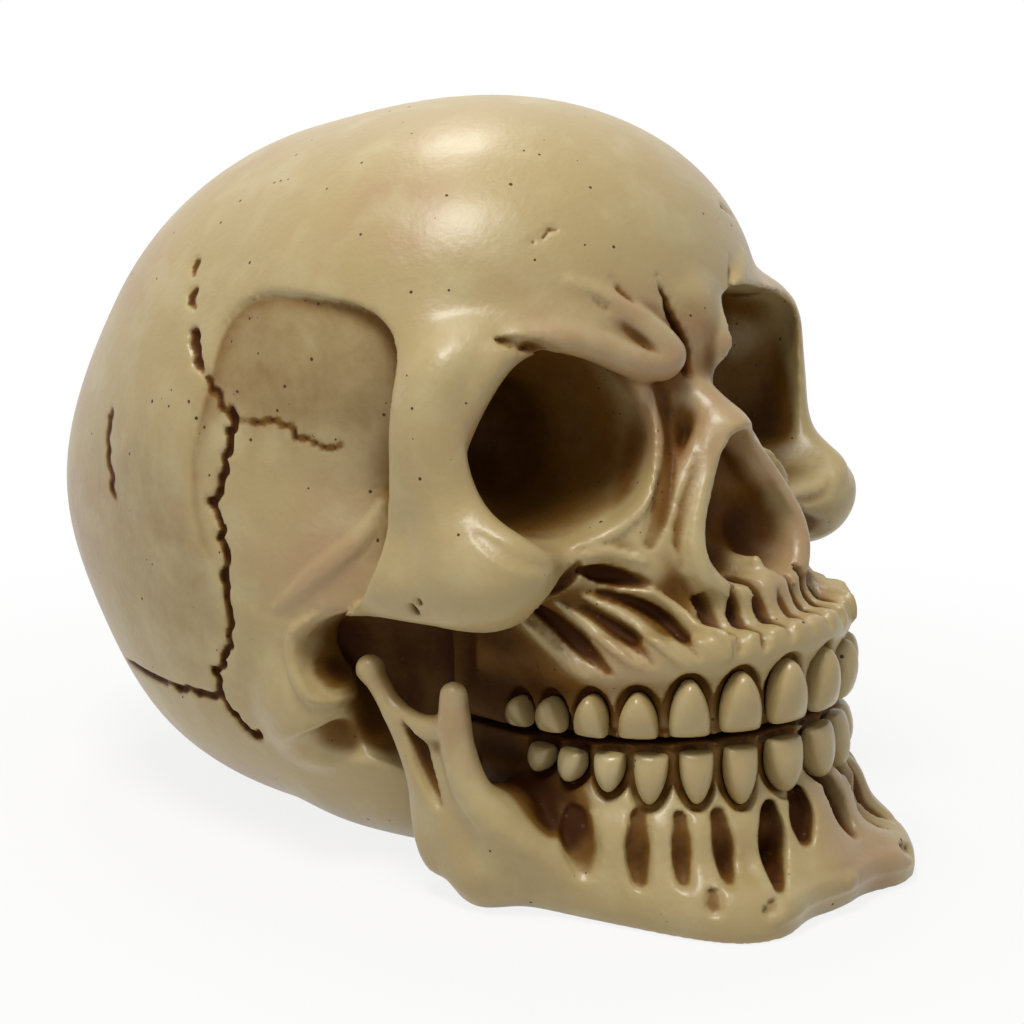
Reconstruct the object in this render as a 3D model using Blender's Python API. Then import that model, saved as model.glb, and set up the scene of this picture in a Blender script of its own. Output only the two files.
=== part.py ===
"""Resin skull ornament: a hollow cast skull that stands on its flat base, with its jaw shut.

Metres, +Z up. The face looks along -Y, and the skull's own right side lies at -X.
The two castings are shaped like clay. Lumps and rolls are pressed into a block of distances,
one half of the skull at a time, and the block's zero surface becomes the mesh.
Tables of shares count steps of a lattice that follows the skull's width, length and height.
"""

import math

import bmesh
import bpy
import numpy as np
import openvdb
from mathutils import Matrix

# Driving dimensions
SKULL_WIDTH = 0.106
SKULL_LENGTH = 0.1672
SKULL_HEIGHT = 0.1255

# Walls, gaps and small parts
CRANIUM_WALL = 0.010
JAW_GAP = 0.0008
TOOTH_GAP = 0.0003
UPPER_TOOTH_DEPTH = 0.0056
LOWER_TOOTH_DEPTH = 0.0052
POUR_HOLE_DIAMETER = 0.016
DISC_DIAMETER = 0.022
DISC_THICKNESS = 0.002
DISC_GAP = 0.0003
DISC_INSET = 0.0008
CUT_OVERRUN = 0.004
CLAY_GRAIN = 0.0014

# How far past its own size a form's pressing is worked out: past the blend, in lattice steps
BRAINCASE_REACH_SHARE = 24
FACE_REACH_SHARE = 12
JAW_REACH_SHARE = 8
SMALL_REACH_SHARE = 6

CRANIUM_TRIANGLES = 5600
MANDIBLE_TRIANGLES = 2400

# One lattice step is this share of the width, the length and the height
STEP_SHARES = (1 / 106, 1 / 167.2, 1 / 125.5)
ORIGIN_SHARES = (0, 9.9, 0)
BLOCK_LOW_SHARES = (0, -82, -6)
BLOCK_HIGH_SHARES = (64, 102, 132)

# A lump is: name, add or cut, blend, centre, radii, turn in degrees, squareness.
# A roll is: name, add or cut, blend, and its points with a radius each.
BRAINCASE_SHARES = [
    ("braincase", "add", 0, (0, 27, 65), (53, 61, 56), (-19, 0, 0), 2),
    ("frontal", "add", 12, (0, 0, 89), (46, 39.5, 36), (0, 0, 0), 2),
    ("occiput", "add", 14, (0, 57, 51), (42, 35, 34), (0, 0, 0), 2),
    ("base", "add", 8, (0, 23, 41), (50, 58, 43.5), (-2, 0, 0), 2.3),
    ("base front", "add", 6, (0, 4, 24), (38, 25, 25.5), (0, 0, 0), 3),
]
FACE_SHARES = [
    ("face core", "add", 8, (0, -22, 60), (30, 22, 26), (0, 0, 0), 2),
    ("maxilla", "add", 8, (0, -35, 50), (25, 17.5, 16), (0, 0, 0), 2),
    ("side plate", "add", 6, (37, -17.5, 70), (11, 14, 24), (0, 0, 0), 2),
    ("arch plate", "add", 4, (41, -14, 53.5), (8.5, 24, 9), (0, 0, 0), 2),
    ("cheek body", "add", 5, (39, -32, 57), (9.5, 11, 9), (0, 0, 0), 2),
    ("brow", "add", 4, [(3.5, -34, 88.5, 4), (10, -34, 87.8, 5), (18, -32, 90, 5), (29, -27, 90, 4.8),
                        (40.5, -24, 86.5, 5.2), (43, -23, 78, 5.5), (42, -25, 68, 5.5), (41, -29, 59, 6)]),
    ("lower rim", "add", 4, [(40, -30, 60, 5), (32, -34, 56, 4.5), (22, -38, 57, 4), (15, -40, 62, 4)]),
    ("nasal bones", "add", 3, [(0, -31, 84, 3.8), (0, -38.3, 80.2, 3.8), (0, -48.3, 74.6, 3.4)]),
    ("nose side", "add", 4, [(8, -31.5, 82, 3.6), (11, -39.5, 72, 4), (14, -43, 62, 4.5),
                             (16, -44, 55, 4.5)]),
    ("nose rim", "add", 2.5, [(2.2, -46, 74.5, 3), (6.5, -46.5, 69.5, 3), (10.2, -48, 63, 3),
                              (12, -50, 57, 3.2), (9, -52.5, 52, 3.4), (3, -54, 50, 3.4), (0, -54, 50, 3.4)]),
    ("upper jaw", "add", 5, [(0, -52, 44, 6), (9, -51, 43.5, 6), (15.5, -46.5, 43, 5.6), (22, -39, 43.5, 6),
                             (25.5, -31, 44, 6), (26, -22, 44, 6)]),
    ("gum edge", "add", 3, [(0, -57, 43.5, 3.4), (9.5, -55, 43.5, 3.3), (16.5, -50.5, 43, 3.2),
                            (22.8, -43, 42, 3.4), (25.5, -34, 41, 3.4), (25.5, -20, 41, 3.4)]),
]
FACE_CUT_SHARES = [
    ("orbit", "cut", 2, (26.8, -36, 74.9), (15.7, 20, 14.3), (0, 22, 26), 2.4),
    ("orbit depth", "cut", 3, (20, -24, 73), (11, 18, 11), (0, 0, 24), 2),
    ("nose top", "cut", 2, (0, -53, 67.5), (4.8, 14, 8), (0, 0, 0), 2),
    ("nose middle", "cut", 2, (0, -53, 61.5), (8.4, 15, 6.8), (0, 0, 0), 2),
    ("nose foot", "cut", 2, (5.3, -53, 59), (5.8, 14, 6.6), (0, 0, 0), 2),
    ("cheek hollow", "cut", 1.5, (43, -22, 31.5), (18, 23, 14), (0, 0, 0), 2.6),
    ("cheek depth", "cut", 4, (37, -18, 42), (9, 16, 8), (0, 0, 0), 2),
    ("ear hollow", "cut", 3, (42, -4, 36), (8, 10, 9), (0, 0, 20), 2),
    ("brow knob", "add", 2.5, (8.3, -35.3, 86.3), (5, 5.2, 4.7), (0, 0, 0), 2),
    ("brow crease", "cut", 0.8, [(0, -43, 95, 0.6), (0, -42, 89, 0.9), (0, -40.5, 84.5, 1.2)]),
    ("mastoid", "add", 4, (42.5, 5.5, 28), (7, 8.5, 10), (0, 0, 0), 2),
    ("mastoid foot", "cut", 3, [(51, 24, 15, 2.5), (49, 14, 14.5, 3.5), (44, 3, 14.5, 4)]),
]
NASAL_SPINE_SHARES = [
    ("nasal spine", "add", 1.5, [(0, -49, 54, 2.4), (0, -52.5, 55, 1.3)]),
]
JAW_BODY_SHARES = [
    ("lower border", "add", 4, [(0, -66, 4.5, 6.5), (10, -66.3, 3.5, 6.5), (17, -66.6, 2, 6.6),
                                (21.5, -60.5, 3.5, 6.6), (26, -48, 4.5, 6.3), (30.5, -32, 6, 6.3),
                                (34, -27, 8.5, 6.3)]),
    ("jaw wall", "add", 6, [(0, -60.5, 13, 6), (10, -59.5, 13, 6), (18, -56, 13, 6), (24, -48, 13, 6),
                            (27, -38, 13, 6), (31, -30, 13, 6)]),
]
RAMUS_SHARES = [
    ("ramus back", "add", 4, [(36, -23, 7, 4.5), (38, -20, 12, 4.5), (40, -16, 22, 4), (41, -12.3, 30, 3.3),
                              (42, -9, 35.5, 3)]),
    ("ramus front", "add", 4, [(36.5, -34, 9, 4.5), (39.5, -29.5, 18, 4.2), (41.3, -28.3, 28, 3.6),
                               (42, -27.5, 35, 3.2)]),
    ("ramus plate", "add", 2, (38.6, -24, 16.5), (4.6, 10.5, 15), (-20, 0, 0), 2.8),
]

# The hollow over each temple: centre, radii and squareness of its two outline lumps
TEMPLE_SHARES = [((55, 8, 80), (22, 26.5, 17), 4), ((55, 10, 68), (22, 28.5, 23), 2.2)]
TEMPLE_FRONT_SHARE, TEMPLE_FRONT_DEPTH_SHARE = -18, 3.0
TEMPLE_BACK_SHARE, TEMPLE_BACK_DEPTH_SHARE = 28, -0.6
TEMPLE_EDGE_SHARE = 0.8

# The arch of the teeth, in plan: an ellipse in front, then straight back
ARCH_SHARES = (29.8, 28.6)
ARCH_BACK_SHARE = -37
# Each socket wall: how far out from the arch, how far back, its low and high edge, its blend
UPPER_WALL_SHARES = (-1.4, -13, 28.7, 45, 1.5)
LOWER_WALL_SHARES = (-2.2, -16.5, 10, 28.2, 2)
LOWER_FOOT_SHARES = (-1, -17, 6, 17, 2)
PALATE_SHARES = (-13, -12, 38, 3)
MOUTH_FLOOR_SHARES = (-11.3, 3)
SKULL_UNDERCUT_SHARES = (-14, 28.7, 4)

# The teeth, from the midline back: name and width as a share of the row
UPPER_TOOTH_SHARES = {
    "central_incisor": 9.4, "lateral_incisor": 8.4, "canine": 8.0, "first_premolar": 8.0,
    "second_premolar": 7.8, "first_molar": 7.4, "second_molar": 6.6,
}
LOWER_TOOTH_SHARES = {
    "central_incisor": 9.0, "lateral_incisor": 7.4, "canine": 7.2, "first_premolar": 6.8,
    "second_premolar": 6.6, "first_molar": 6.4, "second_molar": 6.4,
}
# Each row: its back end, its biting edge, the gum at the front and the back, a tooth's share of its width
UPPER_ROW_SHARES = (-25.1, 29.2, 42.0, 38.1, 0.86)
LOWER_ROW_SHARES = (-29.6, 27.2, 17.0, 18.2, 0.82)
TOOTH_SQUARENESS = 2.6
TOOTH_BITE_SHARE = 0.22
TOOTH_TIP_SHARE = 0.78

HOLLOW_FRONT_SHARE = -6
HOLLOW_FLOOR_SHARE = 20
POUR_HOLE_SHARE = 22

RESIN = (0.58, 0.49, 0.33)
TOOTH_RESIN = (0.62, 0.54, 0.38)
DISC_GREY = (0.10, 0.09, 0.08)

STEP = np.array(STEP_SHARES) * (SKULL_WIDTH, SKULL_LENGTH, SKULL_HEIGHT)
MEAN_STEP = STEP.prod() ** (1 / 3)


def place(shares):
    """A lattice place in metres."""
    return (np.array(shares, float) - ORIGIN_SHARES) * STEP


def along(share):
    return float((share - ORIGIN_SHARES[1]) * STEP[1])


def above(share):
    return float(share * STEP[2])


def smooth_min(first, second, blend):
    if blend <= 0:
        return np.minimum(first, second)
    mix = np.clip(0.5 + 0.5 * (second - first) / blend, 0.0, 1.0)
    return second + (first - second) * mix - blend * mix * (1.0 - mix)


def smooth_max(first, second, blend):
    return -smooth_min(-first, -second, blend)


def curve_through(points, pieces=4):
    """Points of a smooth curve through the given ones, a Catmull-Rom spline."""
    points = np.array(points, float)
    if len(points) < 3:
        return points
    ends = np.vstack([2 * points[0] - points[1], points, 2 * points[-1] - points[-2]])
    route = []
    for before, start, end, after in zip(ends, ends[1:], ends[2:], ends[3:]):
        for t in np.arange(pieces) / pieces:
            bend = (2 * before - 5 * start + 4 * end - after) * t**2
            twist = (3 * start - before - 3 * end + after) * t**3
            route.append(0.5 * (2 * start + (end - before) * t + bend + twist))
    return np.array(route + [points[-1]])


def turned(turn):
    """The rotation matrix for a turn about X, then Y, then Z, in degrees."""
    x, y, z = (math.radians(angle) for angle in turn)
    return np.array(Matrix.Rotation(z, 3, "Z") @ Matrix.Rotation(y, 3, "Y") @ Matrix.Rotation(x, 3, "X"))


class Clay:
    """Distances to the surface of half a form, negative inside, on a grid over x >= 0."""

    def __init__(self):
        low, high = place(BLOCK_LOW_SHARES), place(BLOCK_HIGH_SHARES)
        self.low = low
        self.axes = [np.arange(start, end, CLAY_GRAIN, dtype=np.float32) for start, end in zip(low, high)]
        self.field = np.full([len(axis) for axis in self.axes], SKULL_LENGTH, np.float32)

    def grid(self):
        return np.ix_(*self.axes)

    def window(self, low, high):
        """The part of the grid between two corners, as slices and as coordinates."""
        slices, axes = [], []
        for axis, start, end in zip(self.axes, low, high):
            span = slice(*np.searchsorted(axis, (start, end)))
            slices.append(span)
            axes.append(axis[span])
        return tuple(slices), np.ix_(*axes)

    def press(self, action, distance, blend, span=...):
        old = self.field[span]
        if action == "add":
            self.field[span] = smooth_min(old, distance, blend)
        else:
            self.field[span] = smooth_max(old, -distance, blend)

    def lump(self, action, blend, centre, radii, turn, squareness, reach):
        """An ellipsoid, or a squarer one, and its mirror image where that crosses the middle."""
        centre, radii = place(centre), np.array(radii) * STEP
        matrix = turned(turn)
        size = np.abs(matrix * radii).sum(axis=1) + reach
        crosses = 0 < centre[0] < size[0]
        for side in (1, -1) if crosses else (1,):
            middle = centre * (side, 1, 1)
            span, spot = self.window(middle - size, middle + size)
            x, y, z = (axis - start for axis, start in zip(spot, middle))
            local = [side * matrix[0, i] * x + matrix[1, i] * y + matrix[2, i] * z for i in range(3)]
            near = sum(np.abs(v / r) ** squareness for v, r in zip(local, radii)) ** (1 / squareness)
            near = np.maximum(near, 1e-6)
            slope = np.sqrt(sum((np.abs(v / r) ** (squareness - 1) / r) ** 2 for v, r in zip(local, radii)))
            slope = slope / near ** (squareness - 1)
            self.press(action, (near - 1) / slope, blend, span)

    def roll(self, action, blend, points, reach):
        """A rolled string of clay along a curve, and its mirror image where that crosses the middle."""
        path = curve_through([(*place(point[:3]), point[3] * MEAN_STEP) for point in points])
        reach = reach + path[:, 3].max()
        crosses = path[:, 0].max() > 0 and path[:, 0].min() < reach
        for side in (1, -1) if crosses else (1,):
            route = path * (side, 1, 1, 1)
            span, spot = self.window(route[:, :3].min(axis=0) - reach, route[:, :3].max(axis=0) + reach)
            nearest = np.full([axis.size for axis in spot], SKULL_LENGTH, np.float32)
            for start, end in zip(route, route[1:]):
                step = end[:3] - start[:3]
                x, y, z = (axis - value for axis, value in zip(spot, start))
                t = np.clip((x * step[0] + y * step[1] + z * step[2]) / (step @ step), 0, 1)
                off = np.sqrt((x - t * step[0]) ** 2 + (y - t * step[1]) ** 2 + (z - t * step[2]) ** 2)
                nearest = np.minimum(nearest, off - start[3] - t * (end[3] - start[3]))
            self.press(action, nearest, blend, span)

    def press_all(self, table, reach_share):
        for _, action, blend, *form in table:
            shape = self.roll if len(form) == 1 else self.lump
            shape(action, blend * MEAN_STEP, *form, reach=(blend + reach_share) * MEAN_STEP)

    def in_plan(self, grow_share):
        """Distance, seen from above, to the arch of the teeth grown by a share."""
        x, y, _ = self.grid()
        half, front = (ARCH_SHARES + np.array(grow_share)) * STEP[:2]
        y = np.minimum(y - along(ARCH_BACK_SHARE), 0)
        near = np.sqrt((x / half) ** 2 + (y / front) ** 2)
        slope = np.sqrt((x / half**2) ** 2 + (y / front**2) ** 2)
        return near * (near - 1) / np.maximum(slope, 1e-6)

    def socket_wall(self, grow, back, low, high, blend):
        _, y, z = self.grid()
        ends = np.maximum(y - along(back), np.maximum(above(low) - z, z - above(high)))
        self.press("add", np.maximum(self.in_plan(grow), ends), blend * MEAN_STEP)

    def mesh(self, name):
        """The zero surface of both halves as a mesh."""
        whole = np.concatenate([self.field[:0:-1], self.field])
        outside = np.full([size + 2 for size in whole.shape], CLAY_GRAIN, np.float32)
        outside[1:-1, 1:-1, 1:-1] = whole
        grid = openvdb.FloatGrid(SKULL_LENGTH)
        grid.copyFromArray(outside)
        points, triangles, quads = grid.convertToPolygons(isovalue=0.0, adaptivity=0.0)
        corner = self.low - (self.axes[0][-1] + CLAY_GRAIN, CLAY_GRAIN, CLAY_GRAIN)
        points = points * CLAY_GRAIN + corner
        mesh = bpy.data.meshes.new(name)
        mesh.from_pydata(points.tolist(), [], quads.tolist() + triangles.tolist())
        return mesh


def new_object(name, mesh, collection):
    obj = bpy.data.objects.new(name, mesh)
    collection.objects.link(obj)
    return obj


def paint(obj, colour, roughness):
    material = bpy.data.materials.new(obj.name)
    material.use_nodes = True
    shader = material.node_tree.nodes["Principled BSDF"]
    shader.inputs["Base Color"].default_value = (*colour, 1)
    shader.inputs["Roughness"].default_value = roughness
    shader.inputs["Metallic"].default_value = 0
    obj.data.materials.clear()
    obj.data.materials.append(material)


def keep_largest_body(shape):
    """Loose crumbs that the cuts leave are dropped."""
    left, bodies = set(shape.verts), []
    while left:
        body, edge = set(), [left.pop()]
        while edge:
            vert = edge.pop()
            body.add(vert)
            near = {link.other_vert(vert) for link in vert.link_edges} & left
            left -= near
            edge.extend(near)
        bodies.append(body)
    bodies.sort(key=len)
    bmesh.ops.delete(shape, geom=[vert for body in bodies[:-1] for vert in body], context="VERTS")


def cast(name, clay, triangles, parts):
    """A casting from the clay, thinned to about the wanted count of triangles."""
    mesh = clay.mesh(name)
    draft = new_object(name, mesh, parts)
    thin = draft.modifiers.new("Thin", "DECIMATE")
    thin.ratio = min(1.0, triangles / (2 * len(mesh.polygons)))
    thin.use_symmetry = True
    graph = bpy.context.evaluated_depsgraph_get()
    thinned = bpy.data.meshes.new_from_object(draft.evaluated_get(graph))
    bpy.data.objects.remove(draft)
    shape = bmesh.new()
    shape.from_mesh(thinned)
    keep_largest_body(shape)
    shape.to_mesh(thinned)
    shape.free()
    thinned.shade_smooth()
    return new_object(name, thinned, parts)


def cylinder(name, diameter, low, high, centre, collection):
    shape = bmesh.new()
    bmesh.ops.create_cone(shape, cap_ends=True, segments=40, radius1=diameter / 2, radius2=diameter / 2,
                          depth=high - low, matrix=Matrix.Translation((*centre, (low + high) / 2)))
    mesh = bpy.data.meshes.new(name)
    shape.to_mesh(mesh)
    shape.free()
    mesh.shade_smooth()
    mesh.set_sharp_from_angle(angle=math.radians(40))
    return new_object(name, mesh, collection)


def hide(cutter):
    cutter.hide_render = True
    cutter.display_type = "WIRE"


def cut(obj, cutter, solver="EXACT"):
    hide(cutter)
    boolean = obj.modifiers.new(cutter.name, "BOOLEAN")
    boolean.operation = "DIFFERENCE"
    boolean.solver = solver
    boolean.object = cutter


def arch_route(grow, back):
    """Points along half of the arch from the midline back, in plan, with their distance along it."""
    half, front = (ARCH_SHARES + np.array(grow)) * STEP[:2]
    turn = np.linspace(0, math.pi / 2, 200)
    x = np.append(half * np.sin(turn), half)
    y = np.append(along(ARCH_BACK_SHARE) - front * np.cos(turn), along(back))
    travelled = np.append(0, np.cumsum(np.hypot(np.diff(x), np.diff(y))))
    return x, y, travelled


def tooth_shape(width, depth, height, matrix):
    """A rounded shield with a flat biting end, standing on its seat in the arch."""
    shape = bmesh.new()
    bmesh.ops.create_uvsphere(shape, u_segments=12, v_segments=8, radius=1)
    for vert in shape.verts:
        turn = math.atan2(vert.co.y, vert.co.x)
        square = (abs(math.cos(turn)) ** TOOTH_SQUARENESS + abs(math.sin(turn)) ** TOOTH_SQUARENESS) ** (
            -1 / TOOTH_SQUARENESS)
        vert.co.x *= square * width / 2
        vert.co.y *= square * depth / 2
        vert.co.z *= height * TOOTH_TIP_SHARE
    bite, down = (0, 0, -height * TOOTH_BITE_SHARE), (0, 0, -1)
    everything = shape.verts[:] + shape.edges[:] + shape.faces[:]
    bmesh.ops.bisect_plane(shape, geom=everything, plane_co=bite, plane_no=down, clear_outer=True)
    bmesh.ops.edgeloop_fill(shape, edges=[edge for edge in shape.edges if edge.is_boundary])
    bmesh.ops.recalc_face_normals(shape, faces=shape.faces)
    shape.transform(matrix)
    if matrix.determinant() < 0:
        bmesh.ops.reverse_faces(shape, faces=shape.faces)
    return shape


def mesh_of(name, shape):
    mesh = bpy.data.meshes.new(name)
    shape.to_mesh(mesh)
    shape.free()
    return mesh


def tooth_row(jaw, teeth, row, grow, depth, parts, cutters):
    """Seven teeth a side in one jaw, each half set in a pocket of its own."""
    back, bite, front_gum, back_gum, fill = row
    x, y, travelled = arch_route(grow, back)
    upper = front_gum > bite
    widths = np.array(list(teeth.values())) / sum(teeth.values()) * travelled[-1]
    middles = np.cumsum(widths) - widths / 2
    pockets = bmesh.new()
    for number, (kind, width, middle) in enumerate(zip(teeth, widths, middles)):
        gum = front_gum + (back_gum - front_gum) * number / (len(teeth) - 1)
        height = above(abs(gum - bite))
        near, far = middle - width / 2, middle + width / 2
        seat_x, seat_y = np.interp(middle, travelled, x), np.interp(middle, travelled, y)
        facing = math.atan2(np.diff(np.interp((near, far), travelled, y))[0],
                            np.diff(np.interp((near, far), travelled, x))[0])
        lift = above(bite) + height * TOOTH_BITE_SHARE * (1 if upper else -1)
        seat = Matrix.Translation((seat_x, seat_y, lift)) @ Matrix.Rotation(facing, 4, "Z")
        if not upper:
            seat = seat @ Matrix.Diagonal((1, 1, -1, 1))
        for side, side_name in ((-1, "right"), (1, "left")):
            matrix = Matrix.Diagonal((side, 1, 1, 1)) @ seat
            name = f"{'upper' if upper else 'lower'}_{side_name}_{kind}"
            mesh = mesh_of(name, tooth_shape(width * fill, depth, height, matrix))
            mesh.shade_smooth()
            mesh.set_sharp_from_angle(angle=math.radians(50))
            paint(new_object(name, mesh, parts), TOOTH_RESIN, 0.35)
            room = 2 * TOOTH_GAP
            pocket = tooth_shape(width * fill + room, depth + room, height + room, matrix)
            pockets.from_mesh(mesh_of(name + "_pocket", pocket))
    cut(jaw, new_object(jaw.name + "_pockets", mesh_of("pockets", pockets), cutters), "MANIFOLD")


def temple_hollow(clay, core):
    """Each temple is pressed in, deepest at its front edge, where the surface steps down."""
    _, y, _ = clay.grid()
    front, back = along(TEMPLE_FRONT_SHARE), along(TEMPLE_BACK_SHARE)
    depths = np.array((TEMPLE_FRONT_DEPTH_SHARE, TEMPLE_BACK_DEPTH_SHARE)) * MEAN_STEP
    depth = np.interp(y.ravel(), (front, back), depths).reshape(y.shape).astype(np.float32)
    for centre, radii, squareness in TEMPLE_SHARES:
        outline = Clay()
        outline.lump("add", 0, centre, radii, (0, 0, 0), squareness, reach=MEAN_STEP)
        clay.press("cut", np.maximum(outline.field, -(core + depth)), TEMPLE_EDGE_SHARE * MEAN_STEP)


def shape_cranium(jaw):
    clay = Clay()
    clay.press_all(BRAINCASE_SHARES, BRAINCASE_REACH_SHARE)
    core = clay.field.copy()
    clay.press_all(FACE_SHARES, FACE_REACH_SHARE)
    temple_hollow(clay, core)
    clay.press_all(FACE_CUT_SHARES, SMALL_REACH_SHARE)
    clay.socket_wall(*UPPER_WALL_SHARES)
    clay.press_all(NASAL_SPINE_SHARES, SMALL_REACH_SHARE)
    _, y, z = clay.grid()
    back, top, blend = SKULL_UNDERCUT_SHARES
    clay.press("cut", np.maximum(y - along(back), z - above(top)), blend * MEAN_STEP)
    grow, back, top, blend = PALATE_SHARES
    room = np.maximum(y - along(back), z - above(top))
    clay.press("cut", np.maximum(clay.in_plan(grow), room), blend * MEAN_STEP)
    clay.press("cut", jaw.field - JAW_GAP, 0)
    return clay


def shape_mandible():
    clay = Clay()
    clay.press_all(JAW_BODY_SHARES, JAW_REACH_SHARE)
    clay.socket_wall(*LOWER_WALL_SHARES)
    clay.socket_wall(*LOWER_FOOT_SHARES)
    clay.press_all(RAMUS_SHARES, SMALL_REACH_SHARE)
    grow, blend = MOUTH_FLOOR_SHARES
    clay.press("cut", clay.in_plan(grow), blend * MEAN_STEP)
    return clay


def make_ground(cutters):
    """A slab whose top is the ground, which cuts both castings flat."""
    shape = bmesh.new()
    size = Matrix.Diagonal((2 * SKULL_WIDTH, 2 * SKULL_LENGTH, SKULL_HEIGHT, 1))
    bmesh.ops.create_cube(shape, size=1, matrix=Matrix.Translation((0, 0, -SKULL_HEIGHT / 2)) @ size)
    return new_object("ground", mesh_of("ground", shape), cutters)


def make_hollow(cranium, cutters):
    """The inside of the brain case, and the pour hole through the base into it."""
    front, back = along(HOLLOW_FRONT_SHARE), along(ORIGIN_SHARES[1]) + SKULL_LENGTH / 2 - CRANIUM_WALL
    floor, top = above(HOLLOW_FLOOR_SHARE), SKULL_HEIGHT - CRANIUM_WALL
    radii = (SKULL_WIDTH / 2 - CRANIUM_WALL, (back - front) / 2, (top - floor) / 2)
    centre = (0, (front + back) / 2, (floor + top) / 2)
    shape = bmesh.new()
    bmesh.ops.create_icosphere(shape, subdivisions=3, radius=1,
                               matrix=Matrix.Translation(centre) @ Matrix.Diagonal((*radii, 1)))
    cut(cranium, new_object("hollow", mesh_of("hollow", shape), cutters))
    seat = (0, along(POUR_HOLE_SHARE))
    cut(cranium, cylinder("pour_hole", POUR_HOLE_DIAMETER, -CUT_OVERRUN, centre[2], seat, cutters))
    ledge = DISC_INSET + DISC_THICKNESS + DISC_GAP
    cut(cranium, cylinder("disc_seat", DISC_DIAMETER + 2 * DISC_GAP, -CUT_OVERRUN, ledge, seat, cutters))


def make_disc(parts):
    seat = (0, along(POUR_HOLE_SHARE))
    disc = cylinder("closing_disc", DISC_DIAMETER, DISC_INSET, DISC_INSET + DISC_THICKNESS, seat, parts)
    paint(disc, DISC_GREY, 0.9)


def main():
    for obj in list(bpy.data.objects):
        bpy.data.objects.remove(obj)
    parts = bpy.data.collections.new("resin_skull_ornament")
    cutters = bpy.data.collections.new("cutters")
    for collection in (parts, cutters):
        bpy.context.scene.collection.children.link(collection)
    jaw_clay = shape_mandible()
    cranium = cast("cranium", shape_cranium(jaw_clay), CRANIUM_TRIANGLES, parts)
    mandible = cast("mandible", jaw_clay, MANDIBLE_TRIANGLES, parts)
    ground = make_ground(cutters)
    cut(cranium, ground, "MANIFOLD")
    cut(mandible, ground, "MANIFOLD")
    make_hollow(cranium, cutters)
    upper_grow, lower_grow = UPPER_WALL_SHARES[0], LOWER_WALL_SHARES[0]
    tooth_row(cranium, UPPER_TOOTH_SHARES, UPPER_ROW_SHARES, upper_grow, UPPER_TOOTH_DEPTH, parts, cutters)
    tooth_row(mandible, LOWER_TOOTH_SHARES, LOWER_ROW_SHARES, lower_grow, LOWER_TOOTH_DEPTH, parts, cutters)
    paint(cranium, RESIN, 0.45)
    paint(mandible, RESIN, 0.45)
    make_disc(parts)


main()
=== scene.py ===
# %% [markdown]
# A resin skull ornament. The real one is poured in a mould: a hollow casting of the brain case and
# face, a lower jaw bonded shut under it, and two rows of carved teeth. A brown wash was brushed on
# and wiped off, so it stays in every crease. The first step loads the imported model. Its solids give
# every piece its place, and the finer pieces made here stand for them.

import math

import bmesh
import bpy
import numpy as np
import openvdb
from mathutils import Matrix, Vector


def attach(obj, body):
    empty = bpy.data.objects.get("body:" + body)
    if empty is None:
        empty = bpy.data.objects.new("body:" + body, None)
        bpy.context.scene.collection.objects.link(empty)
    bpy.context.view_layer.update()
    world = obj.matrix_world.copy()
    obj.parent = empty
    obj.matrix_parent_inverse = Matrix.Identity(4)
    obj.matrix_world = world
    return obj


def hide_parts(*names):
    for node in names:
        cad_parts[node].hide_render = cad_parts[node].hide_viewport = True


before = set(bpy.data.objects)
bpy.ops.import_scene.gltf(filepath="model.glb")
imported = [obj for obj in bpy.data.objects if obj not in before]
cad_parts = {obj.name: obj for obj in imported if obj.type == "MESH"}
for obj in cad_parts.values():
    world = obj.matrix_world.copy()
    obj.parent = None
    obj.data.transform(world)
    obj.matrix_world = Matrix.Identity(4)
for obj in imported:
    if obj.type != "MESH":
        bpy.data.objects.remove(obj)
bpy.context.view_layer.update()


# %% [markdown]
# The camera stands where the photographer stood: in front of the skull's right cheek, a little above
# the eyes, about half a metre away. A longer lens from further off would flatten the face. The angles
# were found by matching the chin, the teeth and the eye sockets of a rough model to the picture.

# %% Camera
CAMERA_AZIMUTH = math.radians(-47)
CAMERA_ELEVATION = math.radians(13)
CAMERA_DISTANCE = 0.461
CAMERA_LENS = 93.2
LOOK_AT = Vector((0, -0.0099, 0.054))


def link_in(name, data):
    """A new object in the scene."""
    thing = bpy.data.objects.new(name, data)
    bpy.context.scene.collection.objects.link(thing)
    return thing


def towards(azimuth, elevation):
    """The direction from the skull to a place round it. Azimuth 0 is in front of the face."""
    level = math.cos(elevation)
    return Vector((math.sin(azimuth) * level, -math.cos(azimuth) * level, math.sin(elevation)))


def aimed(name, data, azimuth, elevation, distance):
    """An object that looks at the skull from a direction and a distance."""
    back = towards(azimuth, elevation)
    thing = link_in(name, data)
    thing.location = LOOK_AT + back * distance
    thing.rotation_euler = back.to_track_quat("Z", "Y").to_euler()
    return thing


camera_data = bpy.data.cameras.new("photo_camera")
camera_data.lens = CAMERA_LENS
camera = aimed("photo_camera", camera_data, CAMERA_AZIMUTH, CAMERA_ELEVATION, CAMERA_DISTANCE)
bpy.context.scene.camera = camera
print("the camera stands at", [round(value, 3) for value in camera.location])

# %% [markdown]
# The picture shows the skull cut out on white, lit by something broad overhead and by a bright room
# on its right. A soft lamp stands high over its right side, a second one behind it lights the crown,
# and a wide weak one, level with its right side, does what the bright room does. The powers are small
# numbers because the lamps stand close.

# %% Lamps
# A lamp is: name, azimuth, elevation, distance, width, power
KEY_LAMP = ("key", math.radians(-72), math.radians(68), 0.7, 0.26, 3.3)
CROWN_LAMP = ("crown", math.radians(150), math.radians(62), 0.7, 0.20, 1.1)
FILL_LAMP = ("fill", math.radians(-88), math.radians(18), 0.9, 0.5, 0.3)
LAMP_TINT = (1.0, 0.985, 0.95)

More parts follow.
